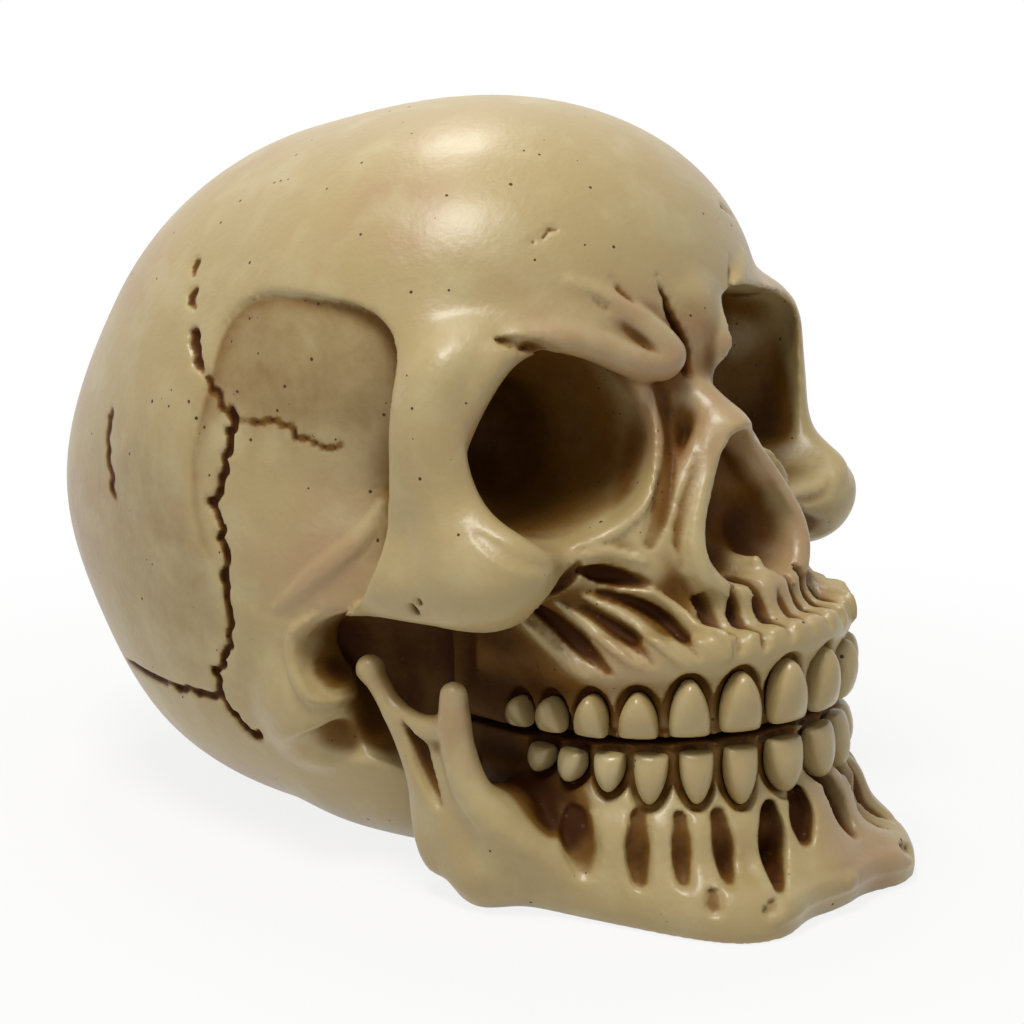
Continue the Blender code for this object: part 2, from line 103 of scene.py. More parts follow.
for name, azimuth, elevation, distance, size, power in (KEY_LAMP, CROWN_LAMP, FILL_LAMP):
    lamp_data = bpy.data.lights.new(name, "AREA")
    lamp_data.shape = "DISK"
    lamp_data.size = size
    lamp_data.energy = power
    lamp_data.color = LAMP_TINT
    aimed(name, lamp_data, azimuth, elevation, distance)
print("three lamps")

# %% [markdown]
# Every finish here is a tree of nodes, and so are the white surroundings and the rule that sets out
# the teeth. These helpers add a node and hand back what the next one needs.

# %% Helpers for node trees
COLOUR, VALUE, SHAPE = "NodeSocketColor", "NodeSocketFloat", "NodeSocketGeometry"


def give(tree, socket, value):
    """An input's value, or its link where the value is another node's output."""
    if isinstance(value, bpy.types.NodeSocket):
        tree.links.new(value, socket)
    else:
        socket.default_value = value


def add(tree, kind, sockets=None, **settings):
    """A node with its settings and its inputs."""
    node = tree.nodes.new(kind)
    for key, value in settings.items():
        setattr(node, key, value)
    for key, value in (sockets or {}).items():
        give(tree, node.inputs[key], value)
    return node


def new_group(name, inputs, outputs, kind="ShaderNodeTree"):
    """A group with its sockets, and what its input node gives and its output node takes."""
    tree = bpy.data.node_groups.new(name, kind)
    for label, socket_kind, *value in inputs:
        socket = tree.interface.new_socket(label, in_out="INPUT", socket_type=socket_kind)
        if value:
            socket.default_value = value[0]
    for label, socket_kind in outputs:
        tree.interface.new_socket(label, in_out="OUTPUT", socket_type=socket_kind)
    return tree, tree.nodes.new("NodeGroupInput").outputs, tree.nodes.new("NodeGroupOutput").inputs


def use(tree, group, **values):
    """A shared group placed in a material, with its own values."""
    named = {key.replace("_", " "): value for key, value in values.items()}
    return add(tree, "ShaderNodeGroup", named, node_tree=group).outputs[0]


def on_piece(tree):
    return add(tree, "ShaderNodeTexCoord").outputs["Object"]


def noise(tree, scale, detail=2.0, rough=0.5):
    sockets = {"Vector": on_piece(tree), "Scale": scale, "Detail": detail, "Roughness": rough}
    return add(tree, "ShaderNodeTexNoise", sockets).outputs["Fac"]


def ranged(tree, value, low, high, to_low=0.0, to_high=1.0):
    sockets = {"Value": value, "From Min": low, "From Max": high, "To Min": to_low, "To Max": to_high}
    return add(tree, "ShaderNodeMapRange", sockets, interpolation_type="SMOOTHSTEP").outputs["Result"]


def maths(tree, operation, first, second):
    return add(tree, "ShaderNodeMath", {0: first, 1: second}, operation=operation).outputs[0]


def mixed(tree, share, first, second, blend="MIX"):
    """Two colours mixed. The node's colour inputs are its seventh and eighth."""
    sockets = {0: share, 6: first, 7: second}
    return add(tree, "ShaderNodeMix", sockets, data_type="RGBA", blend_type=blend).outputs[2]


# %% [markdown]
# The background is white because of its own colour, never because of stronger lamps. The world and
# the floor show plain white to the camera and to reflections, and a dimmer grey to everything else.
# Near the skull the floor keeps a part of its own shading, so that a faint soft shadow still shows.

# %% White surroundings and floor
ROOM_STRENGTH = 0.32
FLOOR_SIZE = 24.0
FLOOR_COLOUR = (0.76, 0.76, 0.75, 1)
FLOOR_WHITENING = 0.85
SHADOW_REACHES = (0.08, 0.22)
WHITE = (1, 1, 1, 1)


def seen_directly(tree):
    """A value of 1 for rays from the camera, a mirror or clear glass, and 0 for the rest."""
    rays = add(tree, "ShaderNodeLightPath").outputs
    seen = maths(tree, "MAXIMUM", rays["Is Camera Ray"], rays["Is Glossy Ray"])
    return maths(tree, "MAXIMUM", seen, rays["Is Transmission Ray"])


world = bpy.data.worlds.new("white_room")
world.use_nodes = True
bpy.context.scene.world = world
room = world.node_tree
background = room.nodes["Background"].inputs
give(room, background["Color"], WHITE)
give(room, background["Strength"], ranged(room, seen_directly(room), 0.0, 1.0, ROOM_STRENGTH))

floor_paint = bpy.data.materials.new("pale_floor")
floor_paint.use_nodes = True
ground = floor_paint.node_tree
ground.nodes.clear()
way_out = add(ground, "ShaderNodeVectorMath", {0: on_piece(ground)}, operation="LENGTH").outputs["Value"]
whitening = ranged(ground, way_out, *SHADOW_REACHES, FLOOR_WHITENING)
shaded = add(ground, "ShaderNodeBsdfDiffuse", {"Color": FLOOR_COLOUR}).outputs[0]
plain = add(ground, "ShaderNodeEmission", {"Color": WHITE}).outputs[0]
share = maths(ground, "MULTIPLY", seen_directly(ground), whitening)
both = add(ground, "ShaderNodeMixShader", {0: share, 1: shaded, 2: plain}).outputs[0]
add(ground, "ShaderNodeOutputMaterial", {"Surface": both})

slab = bmesh.new()
bmesh.ops.create_grid(slab, x_segments=1, y_segments=1, size=FLOOR_SIZE / 2)
floor_mesh = bpy.data.meshes.new("floor")
slab.to_mesh(floor_mesh)
slab.free()
floor_mesh.materials.append(floor_paint)
floor = link_in("floor", floor_mesh)
bpy.context.scene.view_settings.view_transform = "Standard"
print("a white floor", FLOOR_SIZE, "m across")

# %% [markdown]
# The two castings are organic forms, so no box or lathe will do. They could be sculpted by hand, or
# pushed about with subdivision surfaces. Here they are shaped like clay by a script: a block of
# numbers holds the distance to the surface, negative inside, and lumps, rolls and grooves are pressed
# into it with soft joins. The zero surface becomes the mesh. Every place is counted in steps of a
# lattice that follows the skull's width, length and height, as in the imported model.

# %% The lattice
SKULL_WIDTH = 0.106
SKULL_LENGTH = 0.1672
SKULL_HEIGHT = 0.1255
STEP_SHARES = (1 / 106, 1 / 167.2, 1 / 125.5)
ORIGIN_SHARES = (0, 9.9, 0)
STEP = np.array(STEP_SHARES) * (SKULL_WIDTH, SKULL_LENGTH, SKULL_HEIGHT)
MEAN_STEP = STEP.prod() ** (1 / 3)
TINY = 1e-6


def place(shares):
    """A lattice place in metres."""
    return (np.array(shares, float) - ORIGIN_SHARES) * STEP


def along(share):
    return float((share - ORIGIN_SHARES[1]) * STEP[1])


def above(share):
    return float(share * STEP[2])


print("one lattice step is", (STEP * 1000).round(3), "mm")

# %% A block of clay
CLAY_GRAIN = 0.0006
BLOCK_LOW_SHARES = (0, -82, -6)
BLOCK_HIGH_SHARES = (62, 102, 130)
LOW = place(BLOCK_LOW_SHARES)
AXES = [np.arange(start, end, CLAY_GRAIN, dtype=np.float32)
        for start, end in zip(LOW, place(BLOCK_HIGH_SHARES))]


def empty_block():
    """Half a block, over x >= 0, with nothing in it."""
    return np.full([len(axis) for axis in AXES], SKULL_LENGTH, np.float32)


def window(low, high):
    """The part of the block between two corners, as slices and as coordinates."""
    spans = [slice(*np.searchsorted(axis, ends)) for axis, ends in zip(AXES, zip(low, high))]
    return tuple(spans), np.ix_(*(axis[span] for axis, span in zip(AXES, spans)))


print("a block has", [len(axis) for axis in AXES], "places")

# %% Soft joins


def smooth_min(first, second, blend):
    """The lower of two distances, with a fillet of about the blend's size where they meet."""
    if blend <= 0:
        return np.minimum(first, second)
    mix = np.clip(0.5 + 0.5 * (second - first) / blend, 0.0, 1.0)
    return second + (first - second) * mix - blend * mix * (1.0 - mix)


def press(clay, action, distance, blend, span=...):
    """Adds a form to the clay, or cuts it away."""
    if action == "add":
        clay[span] = smooth_min(clay[span], distance, blend)
    else:
        clay[span] = -smooth_min(-clay[span], distance, blend)


# %% Lumps


def turned(turn):
    """The rotation matrix for a turn about X, then Y, then Z, in degrees."""
    x, y, z = (math.radians(angle) for angle in turn)
    return np.array(Matrix.Rotation(z, 3, "Z") @ Matrix.Rotation(y, 3, "Y") @ Matrix.Rotation(x, 3, "X"))


def lump(clay, action, blend, centre, radii, turn=(0, 0, 0), squareness=2, *, reach, twin=True):
    """An ellipsoid, or a squarer one, and its mirror image where that crosses the middle."""
    centre, radii = place(centre), np.array(radii) * STEP
    matrix = turned(turn)
    size = np.abs(matrix * radii).sum(axis=1) + reach
    for side in (1, -1) if twin and 0 < centre[0] < size[0] else (1,):
        middle = centre * (side, 1, 1)
        span, spot = window(middle - size, middle + size)
        x, y, z = (axis - start for axis, start in zip(spot, middle))
        local = [side * matrix[0, i] * x + matrix[1, i] * y + matrix[2, i] * z for i in range(3)]
        local = [np.abs(value / radius) for value, radius in zip(local, radii)]
        near = np.maximum(sum(value**squareness for value in local), TINY) ** (1 / squareness)
        slope = np.sqrt(sum((value ** (squareness - 1) / r) ** 2 for value, r in zip(local, radii)))
        slope /= near ** (squareness - 1)
        press(clay, action, (near - 1) / np.maximum(slope, TINY), blend, span)


# %% Rolls
CURVE_PIECES = 4


def curve_through(points, pieces=CURVE_PIECES):
    """Points of a smooth curve through the given ones, a Catmull-Rom spline."""
    points = np.array(points, float)
    if len(points) < 3:
        return points
    ends = np.vstack([2 * points[0] - points[1], points, 2 * points[-1] - points[-2]])
    route = []
    for before, start, end, after in zip(ends, ends[1:], ends[2:], ends[3:]):
        for t in np.arange(pieces) / pieces:
            bend = (2 * before - 5 * start + 4 * end - after) * t**2
            twist = (3 * start - before - 3 * end + after) * t**3
            route.append(0.5 * (2 * start + (end - before) * t + bend + twist))
    return np.array(route + [points[-1]])


def both_sides(path, reach):
    """1, and -1 too where the path's mirror image crosses the middle."""
    return (1, -1) if path[:, 0].max() > 0 and path[:, 0].min() < reach else (1,)


def to_segment(spot, start, end):
    """How far along a segment each place's nearest point is, and how far off that point it is."""
    step = end - start
    x, y, z = (axis - value for axis, value in zip(spot, start))
    t = np.clip((x * step[0] + y * step[1] + z * step[2]) / (step @ step), 0, 1)
    return t, np.sqrt((x - t * step[0]) ** 2 + (y - t * step[1]) ** 2 + (z - t * step[2]) ** 2)


def path_of(points):
    """A curve in metres through lattice places that have a radius each."""
    return curve_through([(*place(point[:3]), point[3] * MEAN_STEP) for point in points])


def roll(clay, action, blend, points, reach):
    """A rolled string of clay along a curve."""
    path = path_of(points)
    reach = reach + path[:, 3].max()
    for side in both_sides(path, reach):
        route = path * (side, 1, 1, 1)
        span, spot = window(route[:, :3].min(axis=0) - reach, route[:, :3].max(axis=0) + reach)
        nearest = np.full([axis.size for axis in spot], SKULL_LENGTH, np.float32)
        for start, end in zip(route, route[1:]):
            t, off = to_segment(spot, start[:3], end[:3])
            nearest = np.minimum(nearest, off - start[3] - t * (end[3] - start[3]))
        press(clay, action, nearest, blend, span)


# How far past its own surface and its blend a form is worked out: further for large soft forms
WIDE_REACH_SHARE = 24
FACE_REACH_SHARE = 12
JAW_REACH_SHARE = 8
MEDIUM_REACH_SHARE = 6
SHORT_REACH_SHARE = 4


def press_all(clay, table, reach_share):
    for _, action, blend, *form in table:
        shape = roll if len(form) == 1 else lump
        shape(clay, action, blend * MEAN_STEP, *form, reach=(blend + reach_share) * MEAN_STEP)


# %% [markdown]
# A carver's strokes follow a surface, and their depth matters more than their exact place. So a
# stroke here doesn't cut a roll away. It lowers or raises the surface under a soft brush, and it
# hardly minds how far the brush is from the surface along the direction in which it presses.

# %% Strokes
STROKE_REACH_SHARE = 5
STROKE_FLATNESS = 0.9
BRUSH_CORE = 1.3
INK_SHARE = 0.6

ink = np.zeros_like(empty_block())


def stroke(clay, depth, toward, points, mark=0.0):
    """A groove along a curve, or with a negative depth a ridge. Each point has a half width.

    A groove also leaves its mark in the ink block, which the wash is painted from."""
    path = path_of(points)
    widest = path[:, 3].max()
    strength = max(mark, float(np.clip(depth * INK_SHARE, 0, 1)))
    toward = np.array(toward, float) / np.linalg.norm(toward)
    for side in both_sides(path, widest):
        route, lean = path * (side, 1, 1, 1), toward * (side, 1, 1)
        reach = widest + STROKE_REACH_SHARE * MEAN_STEP * np.abs(lean)
        span, (x, y, z) = window(route[:, :3].min(axis=0) - reach, route[:, :3].max(axis=0) + reach)
        flatten = np.eye(3) - STROKE_FLATNESS * np.outer(lean, lean)
        flat = [row[0] * x + row[1] * y + row[2] * z for row in flatten.astype(np.float32)]
        felt = np.zeros(flat[0].shape, np.float32)
        for start, end in zip(route, route[1:]):
            t, off = to_segment(flat, flatten @ start[:3], flatten @ end[:3])
            width = start[3] + t * (end[3] - start[3])
            brush = np.clip(BRUSH_CORE - BRUSH_CORE * (off / width) ** 2, 0, 1)
            brush = brush * brush * (3 - 2 * brush)
            felt = np.maximum(felt, brush * width / widest)
        clay[span] += depth * MEAN_STEP * felt
        ink[span] = np.maximum(ink[span], felt * strength)


def carve_all(clay, table):
    for _, depth, toward, points in table:
        stroke(clay, depth, toward, points)

# %% [markdown]
# The teeth come before the castings, because each casting is pressed round its teeth. A row of teeth
# repeats one form along an arch, so Geometry Nodes set it out: a crown on each point of the arch,
# with its own width, height and turn stored on the point. The crown is a shield, wide and flat where
# it bites and pointed at the gum, as the carver drew it.

# %% One crown
CROWN_SIDES = 28
# From the bite to the gum, each ring: its height, width and depth, as shares of the tooth's
CROWN_RING_SHARES = [
    (0.000, 0.10, 0.06), (0.003, 0.80, 0.34), (0.012, 0.92, 0.44), (0.04, 0.98, 0.58), (0.12, 1.00, 0.74),
    (0.26, 0.99, 0.88), (0.40, 0.95, 0.97), (0.54, 0.87, 1.00), (0.66, 0.76, 0.98), (0.76, 0.64, 0.92),
    (0.85, 0.50, 0.82), (0.92, 0.36, 0.68), (0.965, 0.23, 0.48), (0.99, 0.12, 0.26), (1.00, 0.04, 0.08),
]
CROWN_SQUARENESS = 3.0
CROWN_KEEL_SHARE = 0.10


def crown_mesh():
    """A closed crown, one wide, one deep and one high, biting down at z = 0, its face towards -Y."""
    shape = bmesh.new()
    rings = []
    for high, wide, deep in CROWN_RING_SHARES:
        ring = []
        for turn in np.arange(CROWN_SIDES) * 2 * math.pi / CROWN_SIDES:
            across, out = math.cos(turn), math.sin(turn)
            square = (abs(across)**CROWN_SQUARENESS + abs(out)**CROWN_SQUARENESS) ** (-1 / CROWN_SQUARENESS)
            keel = CROWN_KEEL_SHARE * max(0, -out) * (1 - abs(across)) ** 2
            x, y = across * square * wide / 2, out * (square + keel) * deep / 2
            ring.append(shape.verts.new((x, y, high)))
        rings.append(ring)
    for lower, upper in zip(rings, rings[1:]):
        for corner in range(CROWN_SIDES):
            after = (corner + 1) % CROWN_SIDES
            shape.faces.new((lower[corner], lower[after], upper[after], upper[corner]))
    shape.faces.new(rings[0][::-1])
    shape.faces.new(rings[-1])
    bmesh.ops.recalc_face_normals(shape, faces=shape.faces)
    mesh = bpy.data.meshes.new("crown")
    shape.to_mesh(mesh)
    shape.free()
    mesh.shade_smooth()
    return mesh


crown = bpy.data.objects.new("crown", crown_mesh())
print("a crown has", len(crown.data.polygons), "faces")

# %% The arch of the teeth
ARCH_SHARES = (29.8, 28.6)
ARCH_BACK_SHARE = -37
ARCH_PIECES = 200


def arch_route(grow, back):
    """Points along half of the arch from the midline back, in plan, with their distance along it."""
    half, front = (ARCH_SHARES + np.array(grow)) * STEP[:2]
    turn = np.linspace(0, math.pi / 2, ARCH_PIECES)
    x = np.append(half * np.sin(turn), half)
    y = np.append(along(ARCH_BACK_SHARE) - front * np.cos(turn), along(back))
    return x, y, np.append(0, np.cumsum(np.hypot(np.diff(x), np.diff(y))))


# Each tooth from the midline back: its node, its room along the arch, the part of that room it fills,
# and how much taller it is than the row's slope gives
UPPER_TOOTH_SHARES = [
    ("central_incisor", 9.4, 0.74, 1.0), ("lateral_incisor", 8.4, 0.80, 1.04), ("canine", 8.0, 0.80, 1.10),
    ("first_premolar", 8.0, 0.78, 0.97), ("second_premolar", 7.8, 0.68, 1.0),
    ("first_molar", 7.4, 0.64, 0.92), ("second_molar", 6.6, 0.60, 0.92),
]
LOWER_TOOTH_SHARES = [
    ("central_incisor", 9.0, 0.74, 1.02), ("lateral_incisor", 7.4, 0.72, 1.13), ("canine", 7.2, 0.74, 1.08),
    ("first_premolar", 6.8, 0.80, 1.13), ("second_premolar", 6.6, 0.74, 0.95),
    ("first_molar", 6.4, 0.68, 0.88), ("second_molar", 6.4, 0.66, 0.85),
]
# Each row: its back end, its biting edge, and the gum in front and at the back
UPPER_ROW_SHARES = (-25.1, 30.1, 41.2, 33.4)
LOWER_ROW_SHARES = (-29.6, 27.2, 19.3, 20.4)
UPPER_TOOTH_DEPTH = 0.0056
LOWER_TOOTH_DEPTH = 0.0052


# The bite is higher in front than at the back
BITE_TILT_SHARES = ((-64, -26), (0.9, -2.2))


def bite_lift(y):
    """How far the bite is above its mean height at a place along the skull."""
    places, lifts = BITE_TILT_SHARES
    return np.interp(y, [along(share) for share in places], [above(share) for share in lifts])


def row_of_points(name, teeth, row, grow, depth):
    """A mesh with one point for each tooth, which carries the tooth's size and turn."""
    back, bite, front_gum, back_gum = row
    x, y, travelled = arch_route(grow, back)
    widths = np.array([width for _, width, _, _ in teeth])
    widths = widths / widths.sum() * travelled[-1]
    middles = np.cumsum(widths) - widths / 2
    spots, sizes, turns = [], [], []
    for number, (width, middle, (_, _, fill, taller)) in enumerate(zip(widths, middles, teeth)):
        gum = front_gum + (back_gum - front_gum) * number / (len(teeth) - 1)
        ends = (middle - width / 2, middle + width / 2)
        run, rise = (np.diff(np.interp(ends, travelled, track))[0] for track in (x, y))
        facing = math.atan2(rise, run)
        across, back = np.interp(middle, travelled, x), np.interp(middle, travelled, y)
        edge = above(bite) + bite_lift(back)
        for side in (-1, 1):
            spots.append((side * across, back, edge))
            sizes.append((width * fill, depth, (above(gum) - edge) * taller))
            turns.append((0, 0, side * facing))
    mesh = bpy.data.meshes.new(name)
    mesh.from_pydata(spots, [], [])
    for label, values in (("size", sizes), ("turn", turns)):
        mesh.attributes.new(label, "FLOAT_VECTOR", "POINT").data.foreach_set("vector", np.ravel(values))
    print(name, "has", len(spots), "teeth", [round(float(width) * 1000, 1) for width in widths], "mm wide")
    return mesh


print("the arch is", round(2 * ARCH_SHARES[0] * STEP[0] * 1000, 1), "mm wide at the teeth")

# %% [markdown]
# The node tree takes the row of points, sets a crown on each one, and leans each crown a little its
# own way, because no two teeth of a cast row stand alike. It ends in Realize Instances and Set
# Material, so what comes out is one plain mesh.

# %% A node tree that sets a row of teeth
TEETH_LEAN = math.radians(2.2)
UPPER_SEED = 3
LOWER_SEED = 8


def row_tree():
    tree, given, result = new_group(
        "set_teeth",
        [("Points", SHAPE), ("Crown", "NodeSocketObject"), ("Lean", VALUE), ("Seed", "NodeSocketInt"),
         ("Finish", "NodeSocketMaterial")], [("Teeth", SHAPE)], "GeometryNodeTree")

    def stored(label):
        node = add(tree, "GeometryNodeInputNamedAttribute", {"Name": label}, data_type="FLOAT_VECTOR")
        return node.outputs["Attribute"]

    def rotation(angles):
        return add(tree, "FunctionNodeEulerToRotation", {"Euler": angles}).outputs[0]

    form = add(tree, "GeometryNodeObjectInfo", {"Object": given["Crown"], "As Instance": True})
    row = add(tree, "GeometryNodeInstanceOnPoints",
              {"Points": given["Points"], "Instance": form.outputs["Geometry"],
               "Rotation": rotation(stored("turn")), "Scale": stored("size")})
    least = maths(tree, "MULTIPLY", given["Lean"], -1)
    lean = add(tree, "FunctionNodeRandomValue", {"Min": least, "Max": given["Lean"], "Seed": given["Seed"]},
               data_type="FLOAT_VECTOR")
    leant = add(tree, "GeometryNodeRotateInstances",
                {"Instances": row.outputs[0], "Rotation": rotation(lean.outputs[0])})
    solid = add(tree, "GeometryNodeRealizeInstances", {"Geometry": leant.outputs[0]})
    finish = add(tree, "GeometryNodeSetMaterial",
                 {"Geometry": solid.outputs[0], "Material": given["Finish"]})
    give(tree, result["Teeth"], finish.outputs[0])
    return tree


def evaluated_mesh(piece, name):
    """The piece's mesh with its modifiers applied, as a new plain mesh. The draft is removed."""
    graph = bpy.context.evaluated_depsgraph_get()
    mesh = bpy.data.meshes.new_from_object(piece.evaluated_get(graph))
    mesh.name = name
    bpy.data.objects.remove(piece)
    return mesh


def set_row(name, points, seed):
    draft = link_in(name + "_points", points)
    setter = draft.modifiers.new("Set teeth", "NODES")
    setter.node_group = teeth_tree
    values = {"Crown": crown, "Lean": TEETH_LEAN, "Seed": seed, "Finish": finishes["tooth_resin"]}
    for socket in teeth_tree.interface.items_tree:
        if socket.name in values:
            setter[socket.identifier] = values[socket.name]
    row = link_in(name, evaluated_mesh(draft, name))
    print(name, "is", len(row.data.polygons), "faces")
    return row


finishes = {name: bpy.data.materials.new(name) for name in ("cast_resin", "tooth_resin", "disc_felt")}
teeth_tree = row_tree()
# The wall behind each row: how far it grows past the arch, its back, bottom, top and blend
UPPER_WALL_SHARES = (-1.4, -13, 29.1, 45, 1.5)
LOWER_WALL_SHARES = (-2.0, -16.5, 10, 28.2, 1.5)
upper_points = row_of_points("upper_row", UPPER_TOOTH_SHARES, UPPER_ROW_SHARES, UPPER_WALL_SHARES[0],
                             UPPER_TOOTH_DEPTH)
lower_points = row_of_points("lower_row", LOWER_TOOTH_SHARES, LOWER_ROW_SHARES, LOWER_WALL_SHARES[0],
                             LOWER_TOOTH_DEPTH)
upper_teeth = set_row("upper_teeth", upper_points, UPPER_SEED)
lower_teeth = set_row("lower_teeth", lower_points, LOWER_SEED)

# %% [markdown]
# The lower jaw is one thick roll bent round the chin, with a wall for the teeth standing on it and a
# flat branch at each side that ends in two tips under the cheek arch.

# %% Lower jaw forms
# A lump is: name, add or cut, blend, centre, radii, and where it has them its turn and squareness
# A roll is: name, add or cut, blend, and its points with a radius each
JAW_BODY_SHARES = [
    ("lower border", "add", 4, [(0, -66, 4.5, 6.5), (10, -66.3, 3.5, 6.5), (17, -66.6, 2, 6.6),
        (21.5, -60.5, 3.5, 6.6), (26, -48, 4.5, 6.3), (31.0, -35, 6, 6.4), (35.8, -29, 5.8, 6.4)]),
    ("jaw wall", "add", 6, [(0, -60.5, 13, 6), (10, -59.5, 13, 6), (18, -56, 13, 6), (24, -48, 13, 6),
        (27, -38, 13, 6), (31, -30, 13, 6)]),
]
JAW_RECESS_SHARES = [
    ("recess", "cut", 1.2, [(34.5, -29, 23, 5), (35, -34.6, 19, 4.6), (35, -38.6, 16.4, 3.2),
        (34.4, -41.2, 14.6, 1.6)]),
]
RAMUS_SHARES = [
    ("branch back", "add", 3, [(36.8, -28.2, 6.2, 5.0), (38.6, -24.4, 13, 3.9), (40.6, -18.8, 21, 2.8),
        (41.8, -14.2, 28.6, 2.1), (42, -9.8, 34, 1.9), (42, -7.8, 36.2, 2.5)]),
    ("branch front", "add", 3, [(30.4, -42.2, 7, 3.0), (35.4, -38.4, 10.8, 3.2), (39.4, -34.2, 15.6, 3.2),
        (41.2, -30.2, 20, 3.1), (41.8, -27.6, 26, 2.8), (42, -26.8, 32, 2.6), (42, -26.6, 35.6, 2.3)]),
    ("branch plate", "add", 2, (40.2, -22.6, 17), (2.7, 7, 13), (-6, 0, 0), 3),
    ("branch foot", "add", 3, (35.4, -31.4, 11.6), (5.6, 6.4, 8.4), (0, 0, 30), 2.6),
    ("branch notch", "add", 1.2, [(41.9, -13.6, 30.4, 1.8), (42, -16.5, 29.4, 2.0), (42, -20, 29, 2.1),
        (41.9, -23.4, 29.6, 2.2), (41.8, -26, 31, 2.2)]),
]
LOWER_FOOT_SHARES = (-1, -17, 6, 17, 2)
MOUTH_FLOOR_SHARES = (-11.3, 3)
# The lip at each gum line: how far it grows past the arch, its height in front and behind, radius, blend
LOWER_LIP_SHARES = (-3.0, 18.0, 19.2, 2.5, 1.5)
UPPER_LIP_SHARES = (-3.0, 43.6, 38.2, 2.9, 3)
LIP_BACK_SHARE = -20
# A stroke is: name, depth, the direction it is pressed in, and its points with a half width each
OUTWARD, FORWARD, SLANTED, NEAR_SLANTED = (1, 0, 0), (0, -1, 0), (0.6, -0.8, 0), (-0.6, -0.8, 0)
JAW_STROKES = [
    ("pit 1", 1.4, SLANTED, [(31.0, -43.4, 15.6, 2.6), (31.6, -44.2, 12.6, 3.4), (32.2, -45.4, 9.4, 2.4)]),
    ("pit 2", 1.6, SLANTED, [(25.6, -51.0, 17.0, 1.7), (27.2, -52.2, 13, 2.4), (28.8, -54.2, 8.4, 1.8)]),
    ("pit 3", 1.4, SLANTED, [(22.3, -57.0, 17.2, 1.5), (23.5, -58.2, 13.6, 2.0), (25.0, -59.7, 9.0, 1.5)]),
    ("pit 4", 1.7, SLANTED, [(17.6, -60.8, 17.2, 1.7), (18.6, -62.8, 13.4, 2.3), (20.0, -64.8, 9.4, 1.6)]),
    ("low pit 1", 1.2, SLANTED, [(23.4, -64.4, 7.0, 1.5), (23.8, -64.6, 5.8, 1.7)]),
    ("low pit 2", 1.0, FORWARD, [(19.0, -69.2, 4.8, 1.0), (17.0, -70.0, 5.6, 1.1)]),
    ("branch groove", 1.9, OUTWARD, [(41.8, -16.6, 29.6, 0.6), (42.2, -19, 26.4, 1.6),
        (42.6, -21.2, 22, 1.7), (42.8, -24, 17.2, 0.8)]),
    ("chin edge", -0.7, FORWARD, [(0, -71, 5, 2), (9, -72, 5.2, 2.5), (17, -71, 4.2, 2)]),
]


def in_plan(grow_share):
    """Distance, seen from above, to the arch of the teeth grown by a share."""
    x, y, _ = np.ix_(*AXES)
    half, front = (ARCH_SHARES + np.array(grow_share)) * STEP[:2]
    y = np.minimum(y - along(ARCH_BACK_SHARE), 0)
    near = np.sqrt((x / half) ** 2 + (y / front) ** 2)
    slope = np.sqrt((x / half**2) ** 2 + (y / front**2) ** 2)
    return near * (near - 1) / np.maximum(slope, TINY)


def tooth_wall(clay, grow, back, low, high, blend):
    """The wall in which a row of teeth is set."""
    _, y, z = np.ix_(*AXES)
    z = z - bite_lift(y).astype(np.float32)
    ends = np.maximum(y - along(back), np.maximum(above(low) - z, z - above(high)))
    press(clay, "add", np.maximum(in_plan(grow), ends), blend * MEAN_STEP)


def gum_lip(clay, grow, front, back, radius, blend):
    """A roll along the arch at the gum line, from its height in front to its height at the back."""
    _, y, z = np.ix_(*AXES)
    ends = [along(share) for share in BITE_TILT_SHARES[0]]
    height = np.interp(y.ravel(), ends, (above(front), above(back))).reshape(y.shape)
    off = np.sqrt(in_plan(grow) ** 2 + (z - height.astype(np.float32)) ** 2) - radius * MEAN_STEP
    press(clay, "add", np.maximum(off, y - along(LIP_BACK_SHARE)), blend * MEAN_STEP)



jaw_clay = empty_block()
press_all(jaw_clay, JAW_BODY_SHARES, JAW_REACH_SHARE)
tooth_wall(jaw_clay, *LOWER_WALL_SHARES)
tooth_wall(jaw_clay, *LOWER_FOOT_SHARES)
gum_lip(jaw_clay, *LOWER_LIP_SHARES)
press_all(jaw_clay, JAW_RECESS_SHARES, SHORT_REACH_SHARE)
press_all(jaw_clay, RAMUS_SHARES, MEDIUM_REACH_SHARE)
mouth_grow, mouth_blend = MOUTH_FLOOR_SHARES
press(jaw_clay, "cut", in_plan(mouth_grow), mouth_blend * MEAN_STEP)
carve_all(jaw_clay, JAW_STROKES)
print("the lower jaw has", int((jaw_clay < 0).sum()) * 2, "filled places")

# %% [markdown]
# The cranium starts from five overlapping lumps for the brain case. The face is built on its front
# out of lumps and rolls: cheek bodies, arches, brow, nose and upper jaw. Then the holes are pressed
# in: eye sockets, nose, and the hollows under the cheeks.

